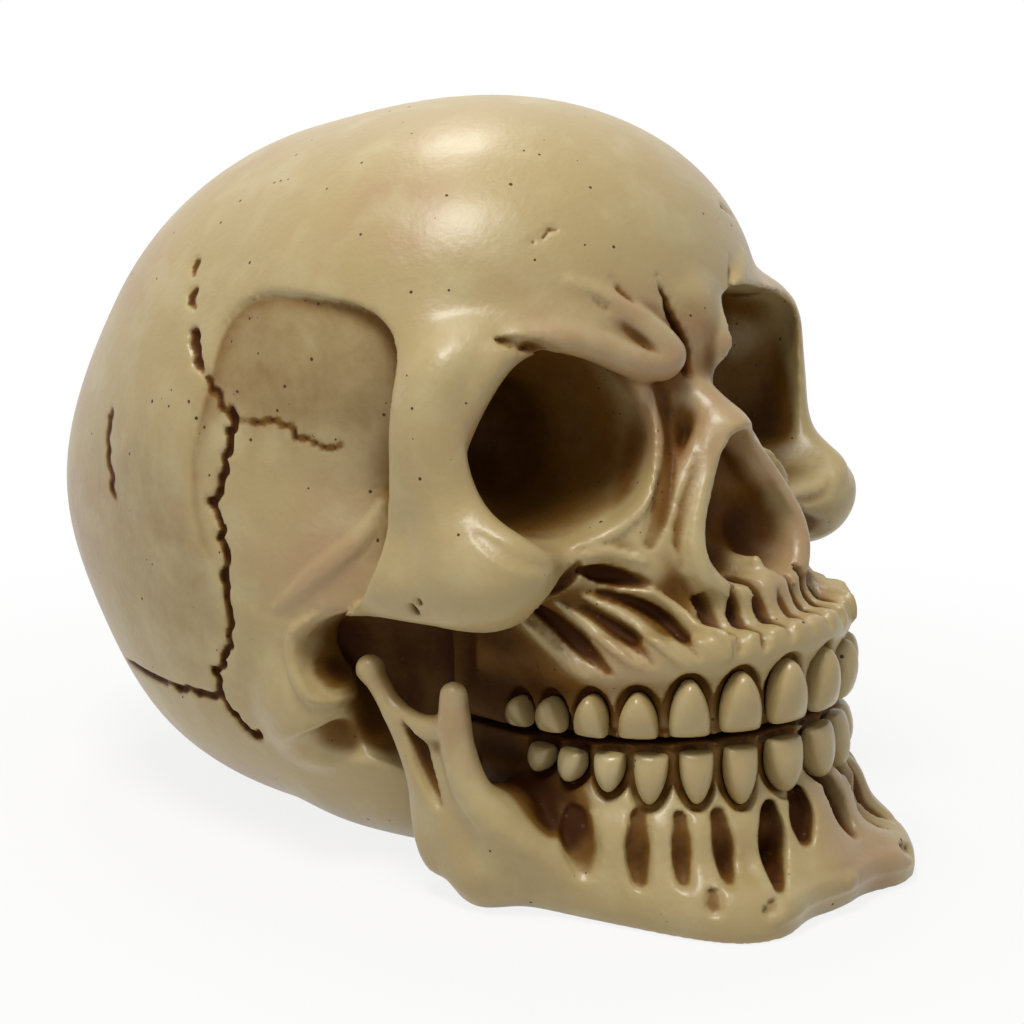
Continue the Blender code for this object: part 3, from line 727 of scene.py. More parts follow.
# %% Brain case and face forms
BRAINCASE_SHARES = [
    ("braincase", "add", 0, (0, 27, 65), (53, 61, 56), (-19, 0, 0)),
    ("frontal", "add", 12, (0, 0, 89), (46, 39.5, 36)),
    ("occiput", "add", 14, (0, 57, 51), (42, 35, 34)),
    ("base", "add", 8, (0, 23, 41), (50, 58, 43.5), (-2, 0, 0), 2.3),
    ("base front", "add", 6, (0, 4, 24), (38, 25, 25.5), (0, 0, 0), 3),
]
FACE_SHARES = [
    ("face core", "add", 8, (0, -22, 60), (30, 22, 26)),
    ("maxilla", "add", 8, (0, -35, 50), (25, 17.5, 16)),
    ("side plate", "add", 6, (37, -17.5, 70), (11, 14, 24)),
    ("arch plate", "add", 4, (41, -14, 53.5), (8.5, 24, 9)),
    ("cheek body", "add", 5, (39, -32, 57), (9.5, 11, 9)),
    ("brow", "add", 4, [(3.5, -34, 88.5, 4), (10, -34, 87.8, 5), (18, -32, 90, 5), (29, -27, 90, 4.8),
        (40.5, -24, 86.5, 5.2), (43, -23, 78, 5.5), (42, -25, 68, 5.5), (41, -29, 59, 6)]),
    ("lower rim", "add", 4, [(40, -30, 60, 5), (32, -34, 56, 4.5), (22, -38, 57, 4), (15, -40, 62, 4)]),
    ("nasal bones", "add", 3, [(0, -31, 84, 3.8), (0, -38.3, 80.2, 3.8), (0, -48.3, 74.6, 3.4)]),
    ("nose side", "add", 4, [(8, -31.5, 82, 3.6), (11, -39.5, 72, 4), (14, -43, 62, 4.5),
        (16, -44, 55, 4.5)]),
    ("nose rim", "add", 2.5, [(2.2, -46, 74.5, 3), (6.5, -46.5, 69.5, 3), (10.2, -48, 63, 3),
        (12, -50, 57, 3.2), (9, -52.5, 52, 3.4), (3, -54, 50, 3.4), (0, -54, 50, 3.4)]),
    ("upper jaw", "add", 5, [(0, -52, 44, 6), (9, -51, 43.5, 6), (15.5, -46.5, 43, 5.6), (22, -39, 43.5, 6),
        (25.5, -31, 44, 6), (26, -22, 44, 6)]),
    ("gum edge", "add", 3, [(0, -57, 43.5, 3.4), (9.5, -55, 43.5, 3.3), (16.5, -50.5, 43, 3.2),
        (22.8, -43, 42, 3.4), (25.5, -34, 41, 3.4), (25.5, -20, 41, 3.4)]),
]
FACE_CUT_SHARES = [
    ("orbit", "cut", 2, (26.8, -36, 74.9), (15.7, 20, 14.3), (0, 22, 26), 2.4),
    ("orbit depth", "cut", 3, (22.5, -22, 73), (9.5, 16, 10.5), (0, 0, 14)),
    ("nose top", "cut", 2, (0, -53, 67.5), (4.8, 11, 8)),
    ("nose middle", "cut", 2, (0, -53, 61.5), (8.4, 11, 6.8)),
    ("nose foot", "cut", 2, (5.3, -53, 58.6), (5.8, 10, 6.8)),
    ("cheek hollow", "cut", 1.5, (43, -22, 31.5), (18, 23, 14), (0, 0, 0), 2.6),
    ("cheek depth", "cut", 4, (37, -18, 42), (9, 16, 8)),
    ("ear hollow", "cut", 3, (42, -4, 36), (8, 10, 9), (0, 0, 20)),
    ("socket corner", "add", 1.5, [(31.5, -30.4, 91.2, 2.0), (36.0, -29.0, 87.8, 2.9),
        (39.2, -27.6, 82.4, 2.8), (40.8, -26.8, 76.4, 1.8)]),
    ("brow fold", "add", 1.2, [(33.4, -28.4, 90.9, 1.2), (29.9, -31.0, 91.6, 1.9), (25.7, -33.8, 91.4, 2.3),
        (20.8, -36.2, 90.0, 2.5), (16.1, -38.0, 87.9, 2.7), (12.0, -39.2, 86.4, 2.9),
        (8.6, -39.8, 86.0, 3.0)]),
    ("frown roll", "add", 1.2, [(21.4, -32.4, 99.4, 1.0), (17.8, -34.6, 97.2, 1.8),
        (14.7, -36.3, 95.0, 2.2), (11.3, -38.0, 92.4, 2.7), (9.0, -39.3, 89.8, 3.1),
        (7.4, -40.0, 87.2, 3.6)]),
    ("mastoid", "add", 4, (42.5, 5.5, 28), (7, 8.5, 10)),
    ("mastoid foot", "cut", 1.5, [(49.4, 22, 17, 2.8), (48.4, 14, 15.6, 3.6), (48.4, 7, 16.8, 4.2),
        (47.4, 2, 19.6, 4.2), (44, -2.4, 22.6, 4.2)]),
]
NASAL_SPINE_SHARES = [
    ("nasal spine", "add", 1.2, [(0, -49, 52.6, 1.8), (0, -53.6, 54.4, 0.9)]),
]
PALATE_SHARES = (-13, -12, 38, 3)
SKULL_UNDERCUT_SHARES = (-14, 28.5, 2)
JAW_GAP = 0.0008

skull_clay = empty_block()
press_all(skull_clay, BRAINCASE_SHARES, WIDE_REACH_SHARE)
core = skull_clay.copy()
press_all(skull_clay, FACE_SHARES, FACE_REACH_SHARE)

# %% [markdown]
# Each temple is pressed in with a clean edge, like a thumb pressed into clay. The step is deepest
# behind the eye and fades out towards the back of the head.

# %% Temples
TEMPLE_SHARES = [((55, 1.4, 79), (22, 19.9, 18), 3.2), ((55, 2.5, 66), (22, 21, 23), 2.2)]
TEMPLE_EDGE_SHARE = 0.7
TEMPLE_BLEND_SHARE = 3
# How deep the step is at a few places from front to back, and where it fades at the bottom
TEMPLE_DEPTH_SHARES = [(-18, 3.0), (-6, 1.8), (8, 1.0), (21, 0.7)]
TEMPLE_FADE_SHARES = (48, 66)
TEMPLE_FRONT_SHARES = (-16, 2)
# Heights over which the painted shade inside the temples grows from faint to full
TEMPLE_SHADE_SHARES = (62, 78)

_, block_y, block_z = np.ix_(*AXES)
depth_at, depths = zip(*TEMPLE_DEPTH_SHARES)
temple_depth = np.interp(block_y, [along(share) for share in depth_at], depths)
fade = np.clip((block_z - above(TEMPLE_FADE_SHARES[0])) / above(np.diff(TEMPLE_FADE_SHARES)[0]), 0, 1)
front_low, front_high = (along(share) for share in TEMPLE_FRONT_SHARES)
fade = np.maximum(fade, np.clip((front_high - block_y) / (front_high - front_low), 0, 1))
temple_depth = (temple_depth * fade * MEAN_STEP).astype(np.float32)
temple_mask = empty_block()
blend = TEMPLE_BLEND_SHARE * MEAN_STEP
for centre, radii, squareness in TEMPLE_SHARES:
    lump(temple_mask, "add", blend, centre, radii, squareness=squareness, reach=blend)
press(skull_clay, "cut", np.maximum(temple_mask, -(core + temple_depth)), TEMPLE_EDGE_SHARE * MEAN_STEP)
print("the temples step in by", TEMPLE_DEPTH_SHARES[0][1], "lattice steps at the front")

# %% Holes of the face, the upper wall and the palate
press_all(skull_clay, FACE_CUT_SHARES, MEDIUM_REACH_SHARE)
tooth_wall(skull_clay, *UPPER_WALL_SHARES)
gum_lip(skull_clay, *UPPER_LIP_SHARES)
press_all(skull_clay, NASAL_SPINE_SHARES, SHORT_REACH_SHARE)
under_back, under_top, under_blend = SKULL_UNDERCUT_SHARES
under_z = block_z - bite_lift(block_y).astype(np.float32)
under = np.maximum(block_y - along(under_back), under_z - above(under_top))
press(skull_clay, "cut", under, under_blend * MEAN_STEP)
palate_grow, palate_back, palate_top, palate_blend = PALATE_SHARES
palate_room = np.maximum(block_y - along(palate_back), block_z - above(palate_top))
press(skull_clay, "cut", np.maximum(in_plan(palate_grow), palate_room), palate_blend * MEAN_STEP)

# %% [markdown]
# Now the carver's strokes: frown lines between the brows, ridges and furrows from the cheek down to
# the tooth roots, and the cracks between the plates of the skull. A real crack of this kind wanders,
# so its path gets small sideways steps from a seeded random generator.

# %% Strokes on the cranium
LEFTWARD = (0.95, -0.3, 0)
FACE_STROKES = [
    ("frown 1", 0.4, FORWARD, [(15.8, -36.8, 93.2, 0.5), (13.9, -38.3, 91.4, 0.9), (12.3, -39.2, 89.7, 1.0),
        (11.0, -40.2, 88.1, 0.5)]),
    ("frown 2", 0.6, FORWARD, [(14.9, -35.6, 100, 0.4), (13.9, -36.5, 97.8, 0.7),
        (12.4, -37.4, 95.8, 0.5)]),
    ("frown 3", 0.6, FORWARD, [(20.0, -33.8, 98.0, 0.4), (18.6, -34.8, 96.6, 0.7),
        (17.2, -36.0, 95.2, 0.5)]),
    ("brow flap", 1.3, FORWARD, [(35.4, -28.6, 91.6, 0.6), (33.1, -30.6, 91.0, 1.2), (29.6, -32, 90.4, 1.2),
        (27, -33, 89.6, 0.6)]),
    ("nose valley", 0.8, SLANTED, [(8.0, -38.6, 82.4, 1.0), (8.2, -40.8, 80, 1.7), (9.6, -42.4, 75.5, 1.9),
        (12.6, -45.2, 70, 2.0), (15.9, -46.8, 64.3, 2.2), (18.4, -46.9, 59.6, 1.6)]),
    ("socket rim", -0.8, SLANTED, [(10.2, -39.8, 81, 0.7), (10.7, -41.7, 75.7, 1.2),
        (12.9, -42.7, 70.5, 1.3), (17.4, -43.6, 65, 1.3), (21.9, -41.4, 61, 1.2), (27, -38.7, 59.4, 0.7)]),
    ("nose rim edge", -0.7, FORWARD, [(3.2, -46.6, 73.8, 0.8), (7.8, -49.7, 68.3, 1.5),
        (11.7, -50.5, 62.6, 1.7), (13.5, -51.8, 58.4, 1.7), (13.0, -53.6, 53.7, 1.5),
        (10.4, -55.4, 51.4, 0.8)]),
    ("nose furrow", 0.6, SLANTED, [(5.6, -46.0, 74.4, 0.6), (8.6, -47.8, 70, 1.2), (12.4, -49.0, 64.6, 1.3),
        (15.4, -50.6, 60, 1.3), (15.6, -51.4, 56.2, 0.7)]),
    ("cheek hole", 2.0, FORWARD, [(26.6, -40.0, 55.4, 0.9), (24.2, -41.4, 54.8, 1.6),
        (21.6, -44.0, 53.8, 1.6), (19.8, -46.4, 53.2, 0.8)]),
    ("cheek hole lip", -0.8, FORWARD, [(26.6, -39.8, 58, 0.7), (23.6, -41.4, 58.2, 1.2),
        (20.0, -44.8, 56.8, 0.8)]),
    ("cheek edge", 1.1, SLANTED, [(38.6, -40.8, 50.2, 0.8), (35.4, -40.6, 52.2, 1.2),
        (31.6, -39.6, 53.4, 1.6), (29.0, -39.6, 55.0, 1.5), (27.8, -40.4, 56.6, 0.8)]),
    ("ridge 1", -1.3, FORWARD, [(22.4, -43.6, 52.8, 0.6), (19.6, -48.2, 51.8, 1.0),
        (16.8, -51.4, 49.2, 1.2), (16.4, -55.6, 46.4, 1.1), (16.6, -60.4, 43.0, 0.7)]),
    ("furrow 1", 1.3, SLANTED, [(25.0, -42.0, 51.6, 0.6), (21.4, -46.6, 50.0, 1.1),
        (18.9, -50.2, 47.8, 1.3), (18.8, -54.2, 45.4, 1.1), (19.0, -57.4, 43.4, 0.6)]),
    ("ridge 2", -1.2, SLANTED, [(26.6, -40.0, 51.2, 0.6), (23.2, -45.4, 48.6, 1.1),
        (21.4, -49.6, 45.8, 1.2), (21.2, -54.0, 43.2, 1.0), (20.8, -57.0, 41.4, 0.6)]),
    ("furrow 2", 0.9, SLANTED, [(27.4, -40.4, 49.4, 0.5), (25.2, -43.4, 47.4, 1.0),
        (23.8, -48.0, 44.8, 1.1), (23.6, -51.8, 42.2, 0.6)]),
    ("ridge 3", -1.2, SLANTED, [(29.4, -36.8, 50.2, 0.6), (27.0, -40.8, 47.2, 1.1),
        (25.8, -45.2, 44.2, 1.2), (25.2, -50.0, 41.4, 0.6)]),
    ("furrow 3", 1.5, SLANTED, [(31.2, -34.0, 49.2, 0.8), (29.4, -38.0, 46.4, 1.5), (28.2, -42.4, 43, 1.6),
        (27.4, -46.0, 40.4, 0.8)]),
    ("ridge 4", -1.0, SLANTED, [(31.6, -32.0, 46.4, 0.7), (30.4, -35.6, 43.8, 1.2),
        (29.2, -39.4, 40.8, 1.1), (28.6, -42.0, 39, 0.7)]),
    ("root 0", 0.8, FORWARD, [(0, -57.4, 50.4, 0.7), (0, -59.6, 47.6, 1.0), (0, -61.4, 44.6, 0.6)]),
    ("root 1", 1.5, FORWARD, [(4.0, -57.0, 52.0, 0.9), (4.3, -58.4, 49.0, 1.4), (5.0, -60.8, 44.8, 0.8)]),
    ("root 2", 1.7, FORWARD, [(8.4, -56.2, 51.6, 0.9), (8.8, -57.4, 48.6, 1.5), (10.2, -60.2, 44.2, 0.9)]),
    ("root 3", 1.1, FORWARD, [(12.6, -54.0, 51.2, 0.7), (12.6, -55.2, 48.3, 1.3),
        (14.2, -58.4, 44.0, 0.8)]),
    ("under eye", 0.5, SLANTED, [(45.4, -35.0, 63.6, 0.8), (44.6, -38.4, 61.6, 1.4),
        (42.4, -41.0, 59.8, 1.3), (38.4, -42.5, 58.4, 0.7)]),
    ("temple floor", -0.8, OUTWARD, [(40.2, -9.9, 64.0, 0.8), (42.1, -7.7, 58.5, 1.6),
        (44.4, -4.7, 55.1, 2.0), (46.5, -1.0, 51.6, 2.0), (47.7, 2.5, 48.4, 1.6), (49.6, 6.5, 45.0, 0.8)]),
    ("ear edge", -1.4, OUTWARD, [(45, -0.6, 44.8, 0.7), (46.6, 2.9, 41.6, 1.2), (47.6, 3.5, 38.2, 1.4),
        (47.2, 2.5, 35.0, 1.4), (47.6, 0, 31.4, 1.2), (45, -2.6, 30.2, 0.7)]),
    ("ear hollow", 2.2, OUTWARD, [(45, -3.4, 42.4, 1.2), (45, -0.6, 40.0, 2.2), (45, -0.4, 36.6, 2.4),
        (45, -1.8, 33.6, 1.5)]),
]
# A crack is: name, depth, half width, and its points
CRACKS = [
    ("high mark 1", 0.6, 0.8, [(42.0, 33.1, 99.2), (42.6, 32.7, 98.2), (43.2, 32.2, 97.2)]),
    ("high mark 2", 0.7, 0.9, [(45, 30.6, 94.4), (45.8, 30.1, 93.2), (46.4, 29.4, 92)]),
    ("high mark 3", 1.5, 1.2, [(48.2, 27, 88.6), (49, 25.4, 86), (49.6, 23.2, 83.2)]),
    ("thin crack", 0.5, 0.5, [(49.8, 22.6, 82.4), (50.6, 18.1, 78.2), (50.6, 15, 75.2)]),
    ("side crack", 1.6, 0.8, [(50.6, 15.6, 76.6), (50.6, 15, 75.2), (51.2, 15.9, 70.3), (51.6, 16.6, 65.5),
        (52.1, 18.4, 61.1), (51.6, 16.7, 55.9), (51.2, 16.7, 47.7), (50.8, 16.8, 41.1), (50, 18.6, 35),
        (49.4, 21.9, 31.5), (48, 22.2, 26.5), (46.6, 19.6, 22.9), (45.6, 17.8, 20.7), (44.9, 14.6, 19.7)]),
    ("low crack", 1.1, 0.7, [(48, 22.2, 26.5), (47.9, 28.1, 26.2), (47.5, 32.7, 25.7), (45.8, 43.4, 25.5),
        (40.6, 57.6, 25.4)]),
    ("temple crack", 0.3, 0.36, [(50.6, 15, 75.2), (49.4, 10.7, 75.9), (47.7, 4.4, 75.8), (47, 2.2, 73.9),
        (43.2, -6.1, 72.1)]),
    ("back crack", 0.4, 0.8, [(49.4, 47.5, 73), (49.1, 49.1, 69), (50, 47.3, 61.5), (49.6, 46.5, 57)]),
    ("crown crack", 0.5, 0.6, [(30.5, -30.2, 106.5), (27.5, -29.6, 108.6), (24.8, -29.8, 108.2),
        (21.5, -28.4, 110.6)]),
]
CRACK_INK = 1.4
CRACK_END_SHARE = 0.4
CROWNWARD = (0.5, -0.5, 0.7)
WANDER_SHARE = 0.55
WANDER_STEPS = 5
WANDER_WIDTHS = (0.75, 1.15)
WANDER_SEED = 5
wander = np.random.default_rng(WANDER_SEED)


def wandering(points, half_width):
    """A crack's path with small steps to either side, and a width that comes and goes."""
    path = curve_through(points, WANDER_STEPS)
    sideways = np.cumsum(wander.normal(0, WANDER_SHARE, (len(path), 2)), axis=0)
    mean = np.ones(WANDER_STEPS) / WANDER_STEPS
    sideways -= np.array([np.convolve(track, mean, "same") for track in sideways.T]).T
    path[:, 1:] += sideways
    width = half_width * wander.uniform(*WANDER_WIDTHS, len(path))
    width[[0, -1]] *= CRACK_END_SHARE
    return [tuple(point) for point in np.column_stack([path, width])]


carve_all(skull_clay, FACE_STROKES)
for _, depth, half_width, points in CRACKS:
    toward = LEFTWARD if points[0][1] > 0 else CROWNWARD
    stroke(skull_clay, depth, toward, wandering(points, half_width), mark=CRACK_INK)
print(len(FACE_STROKES), "strokes and", len(CRACKS), "cracks on each side")

# %% [markdown]
# Both half blocks are mirrored to whole ones. The rows of teeth are turned into distances on the same
# places, and each casting is pressed round them: close in the pockets, and a little wider at the
# surface, which gives each tooth the sunk line that the brown wash settles in.

# %% Whole blocks with seats for the teeth
# The carver didn't make the two sides alike. A place across is negative on the skull's right side.
FAR_BROW_SHARES = ("far brow", "add", 4, (2.6, -36.4, 89.5), (5.2, 4.8, 7.5))
FAR_SOCKET_SHARES = ("far eye socket", "cut", 1.2, (24.4, -33.9, 80.2), (10, 21, 13.5), (-13, 0, -47), 4)
ONE_SIDED_STROKES = [
    ("brow crack", 1.1, FORWARD, [(-6.0, -37.4, 99.4, 0.35), (-5.9, -37.7, 98, 0.5),
        (-5.2, -38.3, 95.5, 0.7), (-4.7, -39.0, 92.8, 0.9), (-3.6, -39.7, 89.6, 1.1),
        (-2.6, -40, 86.4, 1.3), (-2.0, -40.4, 83.6, 0.9)]),
    ("far cheek mark", 0.3, FORWARD, [(37.7, -40.6, 62.0, 0.5), (35.9, -41.4, 59.2, 0.8),
        (34.5, -41.4, 57.7, 0.9), (31.6, -40.4, 57.0, 1.0), (28.6, -39.6, 57.4, 0.6)]),
    ("cheek pit 1", 0.9, OUTWARD, [(-49, -23.4, 50.6, 0.9), (-49, -24.0, 50.0, 0.9)]),
    ("cheek pit 2", 0.7, OUTWARD, [(-48.6, -25.2, 51.8, 0.7), (-48.6, -25.6, 51.8, 0.7)]),
]
ONE_SIDED_JAW_STROKES = [
    ("near pit 5", 1.3, NEAR_SLANTED, [(-9.0, -64.2, 17.2, 1.8), (-10.6, -66.4, 12.8, 2.9),
        (-13.2, -69.2, 7.6, 1.6)]),
    ("near pit 6", 1.3, NEAR_SLANTED, [(-2.6, -64.9, 18.0, 1.8), (-3.4, -66.3, 15.2, 2.6),
        (-4.4, -68.0, 12.2, 1.6)]),
    ("far pit 6", 2.6, FORWARD, [(5.6, -64.4, 18.0, 2.0), (6.6, -65.4, 14.8, 3.6),
        (7.8, -67.6, 11.2, 2.2)]),
    ("far pit 5", 1.6, SLANTED, [(14.0, -62.0, 17.2, 1.4), (15.0, -64, 13.2, 2.0),
        (16.2, -66.6, 9.0, 1.2)]),
]
# The room inside the casting, the hole it was poured through, and the seat of the disc that closes it
INSIDE_SHARES = ("inside", "cut", 0, (0, 38.5, 67.8), (43, 44.9, 47.7))
POUR_HOLE_DIAMETER = 0.016
POUR_HOLE_SHARE = 22
SEAT_DIAMETER = 0.0226
SEAT_DEPTH = 0.0031
TOOTH_GAP = 0.0003
GUM_MOAT = 0.0013
GUM_MOAT_DEPTH = 0.0014
# Where a whole block starts, and how far from a surface its distances count, in grains
CORNER = LOW - (AXES[0][-1] + CLAY_GRAIN, CLAY_GRAIN, CLAY_GRAIN)
BAND_GRAINS = 3


def mirrored(clay):
    """A whole block from a half one, with a margin of one empty place all round."""
    whole = np.concatenate([clay[:0:-1], clay])
    padded = np.full([size + 2 for size in whole.shape], CLAY_GRAIN, np.float32)
    padded[1:-1, 1:-1, 1:-1] = whole
    return padded


def vertex_places(mesh):
    points = np.empty(len(mesh.vertices) * 3, np.float32)
    mesh.vertices.foreach_get("co", points)
    return points.reshape(-1, 3)


def distances_to(mesh, shape):
    """The distance to a closed mesh at every place of a whole block, out to a few grains."""
    points = (vertex_places(mesh) - CORNER) / CLAY_GRAIN
    mesh.calc_loop_triangles()
    triangles = np.empty(len(mesh.loop_triangles) * 3, np.int32)
    mesh.loop_triangles.foreach_get("vertices", triangles)
    level = openvdb.FloatGrid.createLevelSetFromPolygons(
        points.astype(np.float32), triangles=triangles.reshape(-1, 3).astype(np.uint32),
        transform=openvdb.createLinearTransform(1.0), halfWidth=BAND_GRAINS)
    block = np.empty(shape, np.float32)
    level.copyToArray(block)
    return block * CLAY_GRAIN


def seated(clay, teeth):
    """The casting with pockets for its teeth and a shallow moat round each one."""
    whole = mirrored(clay)
    off = distances_to(teeth.data, whole.shape)
    moat = np.maximum(off - GUM_MOAT, -(whole + GUM_MOAT_DEPTH))
    press(whole, "cut", moat, GUM_MOAT_DEPTH / 2)
    press(whole, "cut", off - TOOTH_GAP, 0)
    return whole


press(skull_clay, "cut", jaw_clay - JAW_GAP, 0)
jaw_whole = seated(jaw_clay, lower_teeth)
skull_whole = seated(skull_clay, upper_teeth)
AXES = [np.arange(count, dtype=np.float32) * CLAY_GRAIN + low
        for count, low in zip(skull_whole.shape, CORNER)]
ink = mirrored(ink)
for _, action, blend, *form in (FAR_BROW_SHARES, FAR_SOCKET_SHARES):
    lump(skull_whole, action, blend * MEAN_STEP, *form, reach=SHORT_REACH_SHARE * MEAN_STEP, twin=False)
carve_all(skull_whole, ONE_SIDED_STROKES)
carve_all(jaw_whole, ONE_SIDED_JAW_STROKES)
_, whole_y, whole_z = np.ix_(*AXES)
solid_castings = np.minimum(skull_whole, jaw_whole)
press_all(skull_whole, [INSIDE_SHARES], SHORT_REACH_SHARE)
for diameter, top in ((POUR_HOLE_DIAMETER, above(INSIDE_SHARES[3][2])), (SEAT_DIAMETER, SEAT_DEPTH)):
    ring = np.hypot(AXES[0][:, None, None], whole_y - along(POUR_HOLE_SHARE)) - diameter / 2
    press(skull_whole, "cut", np.maximum(ring, whole_z - top), 0)
heights = (np.arange(jaw_whole.shape[2]) * CLAY_GRAIN + CORNER[2]).astype(np.float32)
for whole_block in (jaw_whole, skull_whole, solid_castings):
    press(whole_block, "cut", heights, 0)
print("blocks of", skull_whole.shape, "places")

# %% [markdown]
# The zero surface of each block becomes a mesh. It is smoothed a little, to take off the block's own
# steps, and thinned where it is flat, so that the triangles go where the carving is.

# %% Meshes from the blocks
SKULL_TRIANGLES = 185000
JAW_TRIANGLES = 90000
SMOOTHING = (0.5, 2)


def without_crumbs(mesh):
    """Keeps the largest connected body of a mesh, and says how many others were dropped."""
    shape = bmesh.new()
    shape.from_mesh(mesh)
    left, bodies = set(shape.verts), []
    while left:
        body, edge = set(), [left.pop()]
        while edge:
            vert = edge.pop()
            body.add(vert)
            near = {link.other_vert(vert) for link in vert.link_edges} & left
            left -= near
            edge.extend(near)
        bodies.append(body)
    bodies.sort(key=len)
    bmesh.ops.delete(shape, geom=[vert for body in bodies[:-1] for vert in body], context="VERTS")
    shape.to_mesh(mesh)
    shape.free()
    return len(bodies) - 1


def surface(name, block, triangles):
    band = BAND_GRAINS * CLAY_GRAIN
    grid = openvdb.FloatGrid(band)
    grid.copyFromArray(np.clip(block, -band, band))
    points, corners, quads = grid.convertToPolygons(isovalue=0.0, adaptivity=0.0)
    mesh = bpy.data.meshes.new(name + "_draft")
    mesh.from_pydata((points * CLAY_GRAIN + CORNER).tolist(), [], quads.tolist() + corners.tolist())
    draft = link_in(name + "_draft", mesh)
    smooth = draft.modifiers.new("Smooth", "SMOOTH")
    smooth.factor, smooth.iterations = SMOOTHING
    made = sum(len(face.vertices) - 2 for face in mesh.polygons)
    thin = draft.modifiers.new("Thin", "DECIMATE")
    thin.ratio = min(1.0, triangles / made)
    mesh = evaluated_mesh(draft, name)
    crumbs = without_crumbs(mesh)
    mesh.shade_smooth()
    print(name, "has", len(mesh.polygons), "faces, and", crumbs, "crumbs were dropped")
    return link_in(name, mesh)


cranium = surface("cranium_casting", skull_whole, SKULL_TRIANGLES)
mandible = surface("mandible_casting", jaw_whole, JAW_TRIANGLES)

# %% [markdown]
# The brown wash needs to know where it would settle. The blurred distance does that: on a flat place
# the blur sees as much inside as outside, in a crease it sees more inside. A small blur finds the
# creases, and a large one the sockets, which it darkens as painted shade as well as wash. Both are
# stored on the vertices for the materials to read, with the ink of the strokes and the zones where the
# wash was left thick or shade is painted.

# %% Where the wash settles
CREASE_REACH = 0.0016
# The large blur's reach: it darkens the sockets with wash and with painted shade
HOLLOW_SHADE_REACH = 0.012
HOLLOW_SHADE_LEVEL = 0.25
# How dark the painted shade inside the temples is, how faint it stays low down, and how soft its edge is
TEMPLE_SHADE = 0.85
TEMPLE_SHADE_LEAST = 0.1
TEMPLE_SHADE_EDGE = 0.002


def blurred(block, reach):
    """The mean over a box of the clipped distances, twice, which is close to a round blur."""
    size = max(1, int(round(reach / CLAY_GRAIN)))
    width = 2 * size + 1
    block = np.clip(block, -reach, reach)
    for _ in range(2):
        for axis in range(3):
            margins = [(size + 1, size) if other == axis else (0, 0) for other in range(3)]
            total = np.cumsum(np.pad(block, margins, mode="edge"), axis=axis, dtype=np.float64)
            ahead = np.take(total, range(width, total.shape[axis]), axis=axis)
            behind = np.take(total, range(0, total.shape[axis] - width), axis=axis)
            block = ((ahead - behind) / width).astype(np.float32)
    return block / reach


def sampled(block, mesh):
    """A block's values at a mesh's vertices."""
    spot = (vertex_places(mesh) - CORNER) / CLAY_GRAIN
    low = np.clip(spot.astype(int), 0, np.array(block.shape) - 2)
    part = np.clip(spot - low, 0, 1)
    total = np.zeros(len(spot), np.float32)
    for corner in np.ndindex(2, 2, 2):
        weight = np.prod(np.where(corner, part, 1 - part), axis=1)
        total += weight * block[tuple((low + corner).T)]
    return total


def store(mesh, name, values):
    mesh.attributes.new(name, "FLOAT", "POINT").data.foreach_set("value", values.astype(np.float32))


# Places where the wash was left thick, and places where shade is painted: centre, radii, strength
WASH_AND_SHADE_ZONES = [
    ("eye socket", (25, -20, 73), (29, 26, 27), 1.3),
    ("nose opening", (3, -44, 62), (12, 14, 16), 1.3),
    # Painted shade as well as wash: the recess under the cheek arch
    ("under the cheek arch", (35, -18, 36), (17, 32, 16), 1.8),
    ("behind the jaw branch", (35, 0, 32), (15, 18, 18), 1.6),
    # Painted shade as well as wash: the two zones below, round the back teeth and in the jaw's recess
    ("back teeth", (28, -28, 28), (14, 28, 21), 2.0),
    ("jaw recess", (31, -35, 18), (9, 13, 10), 2.4),
    ("front teeth", (10, -46, 31), (36, 38, 20), 1.5),
    ("side of the nose", (9, -44, 68), (14, 18, 26), 0.95),
    ("cheek furrows", (22, -42, 50), (20, 20, 15), 1.1),
    ("jaw wall", (12, -60, 14), (30, 28, 13), 0.6),
    ("brow", (8, -40, 88), (34, 14, 14), 0.85),
    # Painted shade: the chin is darker and warmer, as where the light is dim
    ("chin", (4, -70, 6), (30, 16, 16), 0.35),
    # Painted shade: the back of the head is darker, where the light from the front and the top falls weakly
    ("back of the head", (46, 44, 40), (44, 54, 54), 0.6),
    ("one side: rim stain", (-45, -26, 77.5), (4, 6, 4.5), 0.7),
    # Painted shade as well as wash: the three zones below darken the far eye socket, the far cheek and the
    # far side of the face
    ("one side: far eye socket", (37, -26, 76), (10, 16, 20), 1.5),
    ("one side: far cheek", (30, -38, 60), (14, 12, 12), 0.9),
    ("one side: far face", (14, -64, 50), (60, 54, 76), 0.7),
]


def painted_zones(mesh):
    points = vertex_places(mesh)
    total = np.zeros(len(points), np.float32)
    for name, centre, radii, strength in WASH_AND_SHADE_ZONES:
        for side in (1,) if name.startswith("one side") else (-1, 1):
            off = (points - place(centre) * (side, 1, 1)) / (np.array(radii) * STEP)
            near = np.sqrt((off**2).sum(axis=1))
            total = np.maximum(total, strength * np.clip(2 - 2 * near, 0, 1))
    return total


def painted_temple_shade(mesh):
    """The painted shade inside the temples, which is fainter lower down."""
    heights = vertex_places(mesh)[:, 2]
    low, high = (above(share) for share in TEMPLE_SHADE_SHARES)
    rise = np.clip((heights - low) / (high - low), 0, 1)
    inside = np.clip(0.5 - sampled(temple_whole, mesh) / TEMPLE_SHADE_EDGE, 0, 1)
    return TEMPLE_SHADE * (TEMPLE_SHADE_LEAST + (1 - TEMPLE_SHADE_LEAST) * rise) * inside


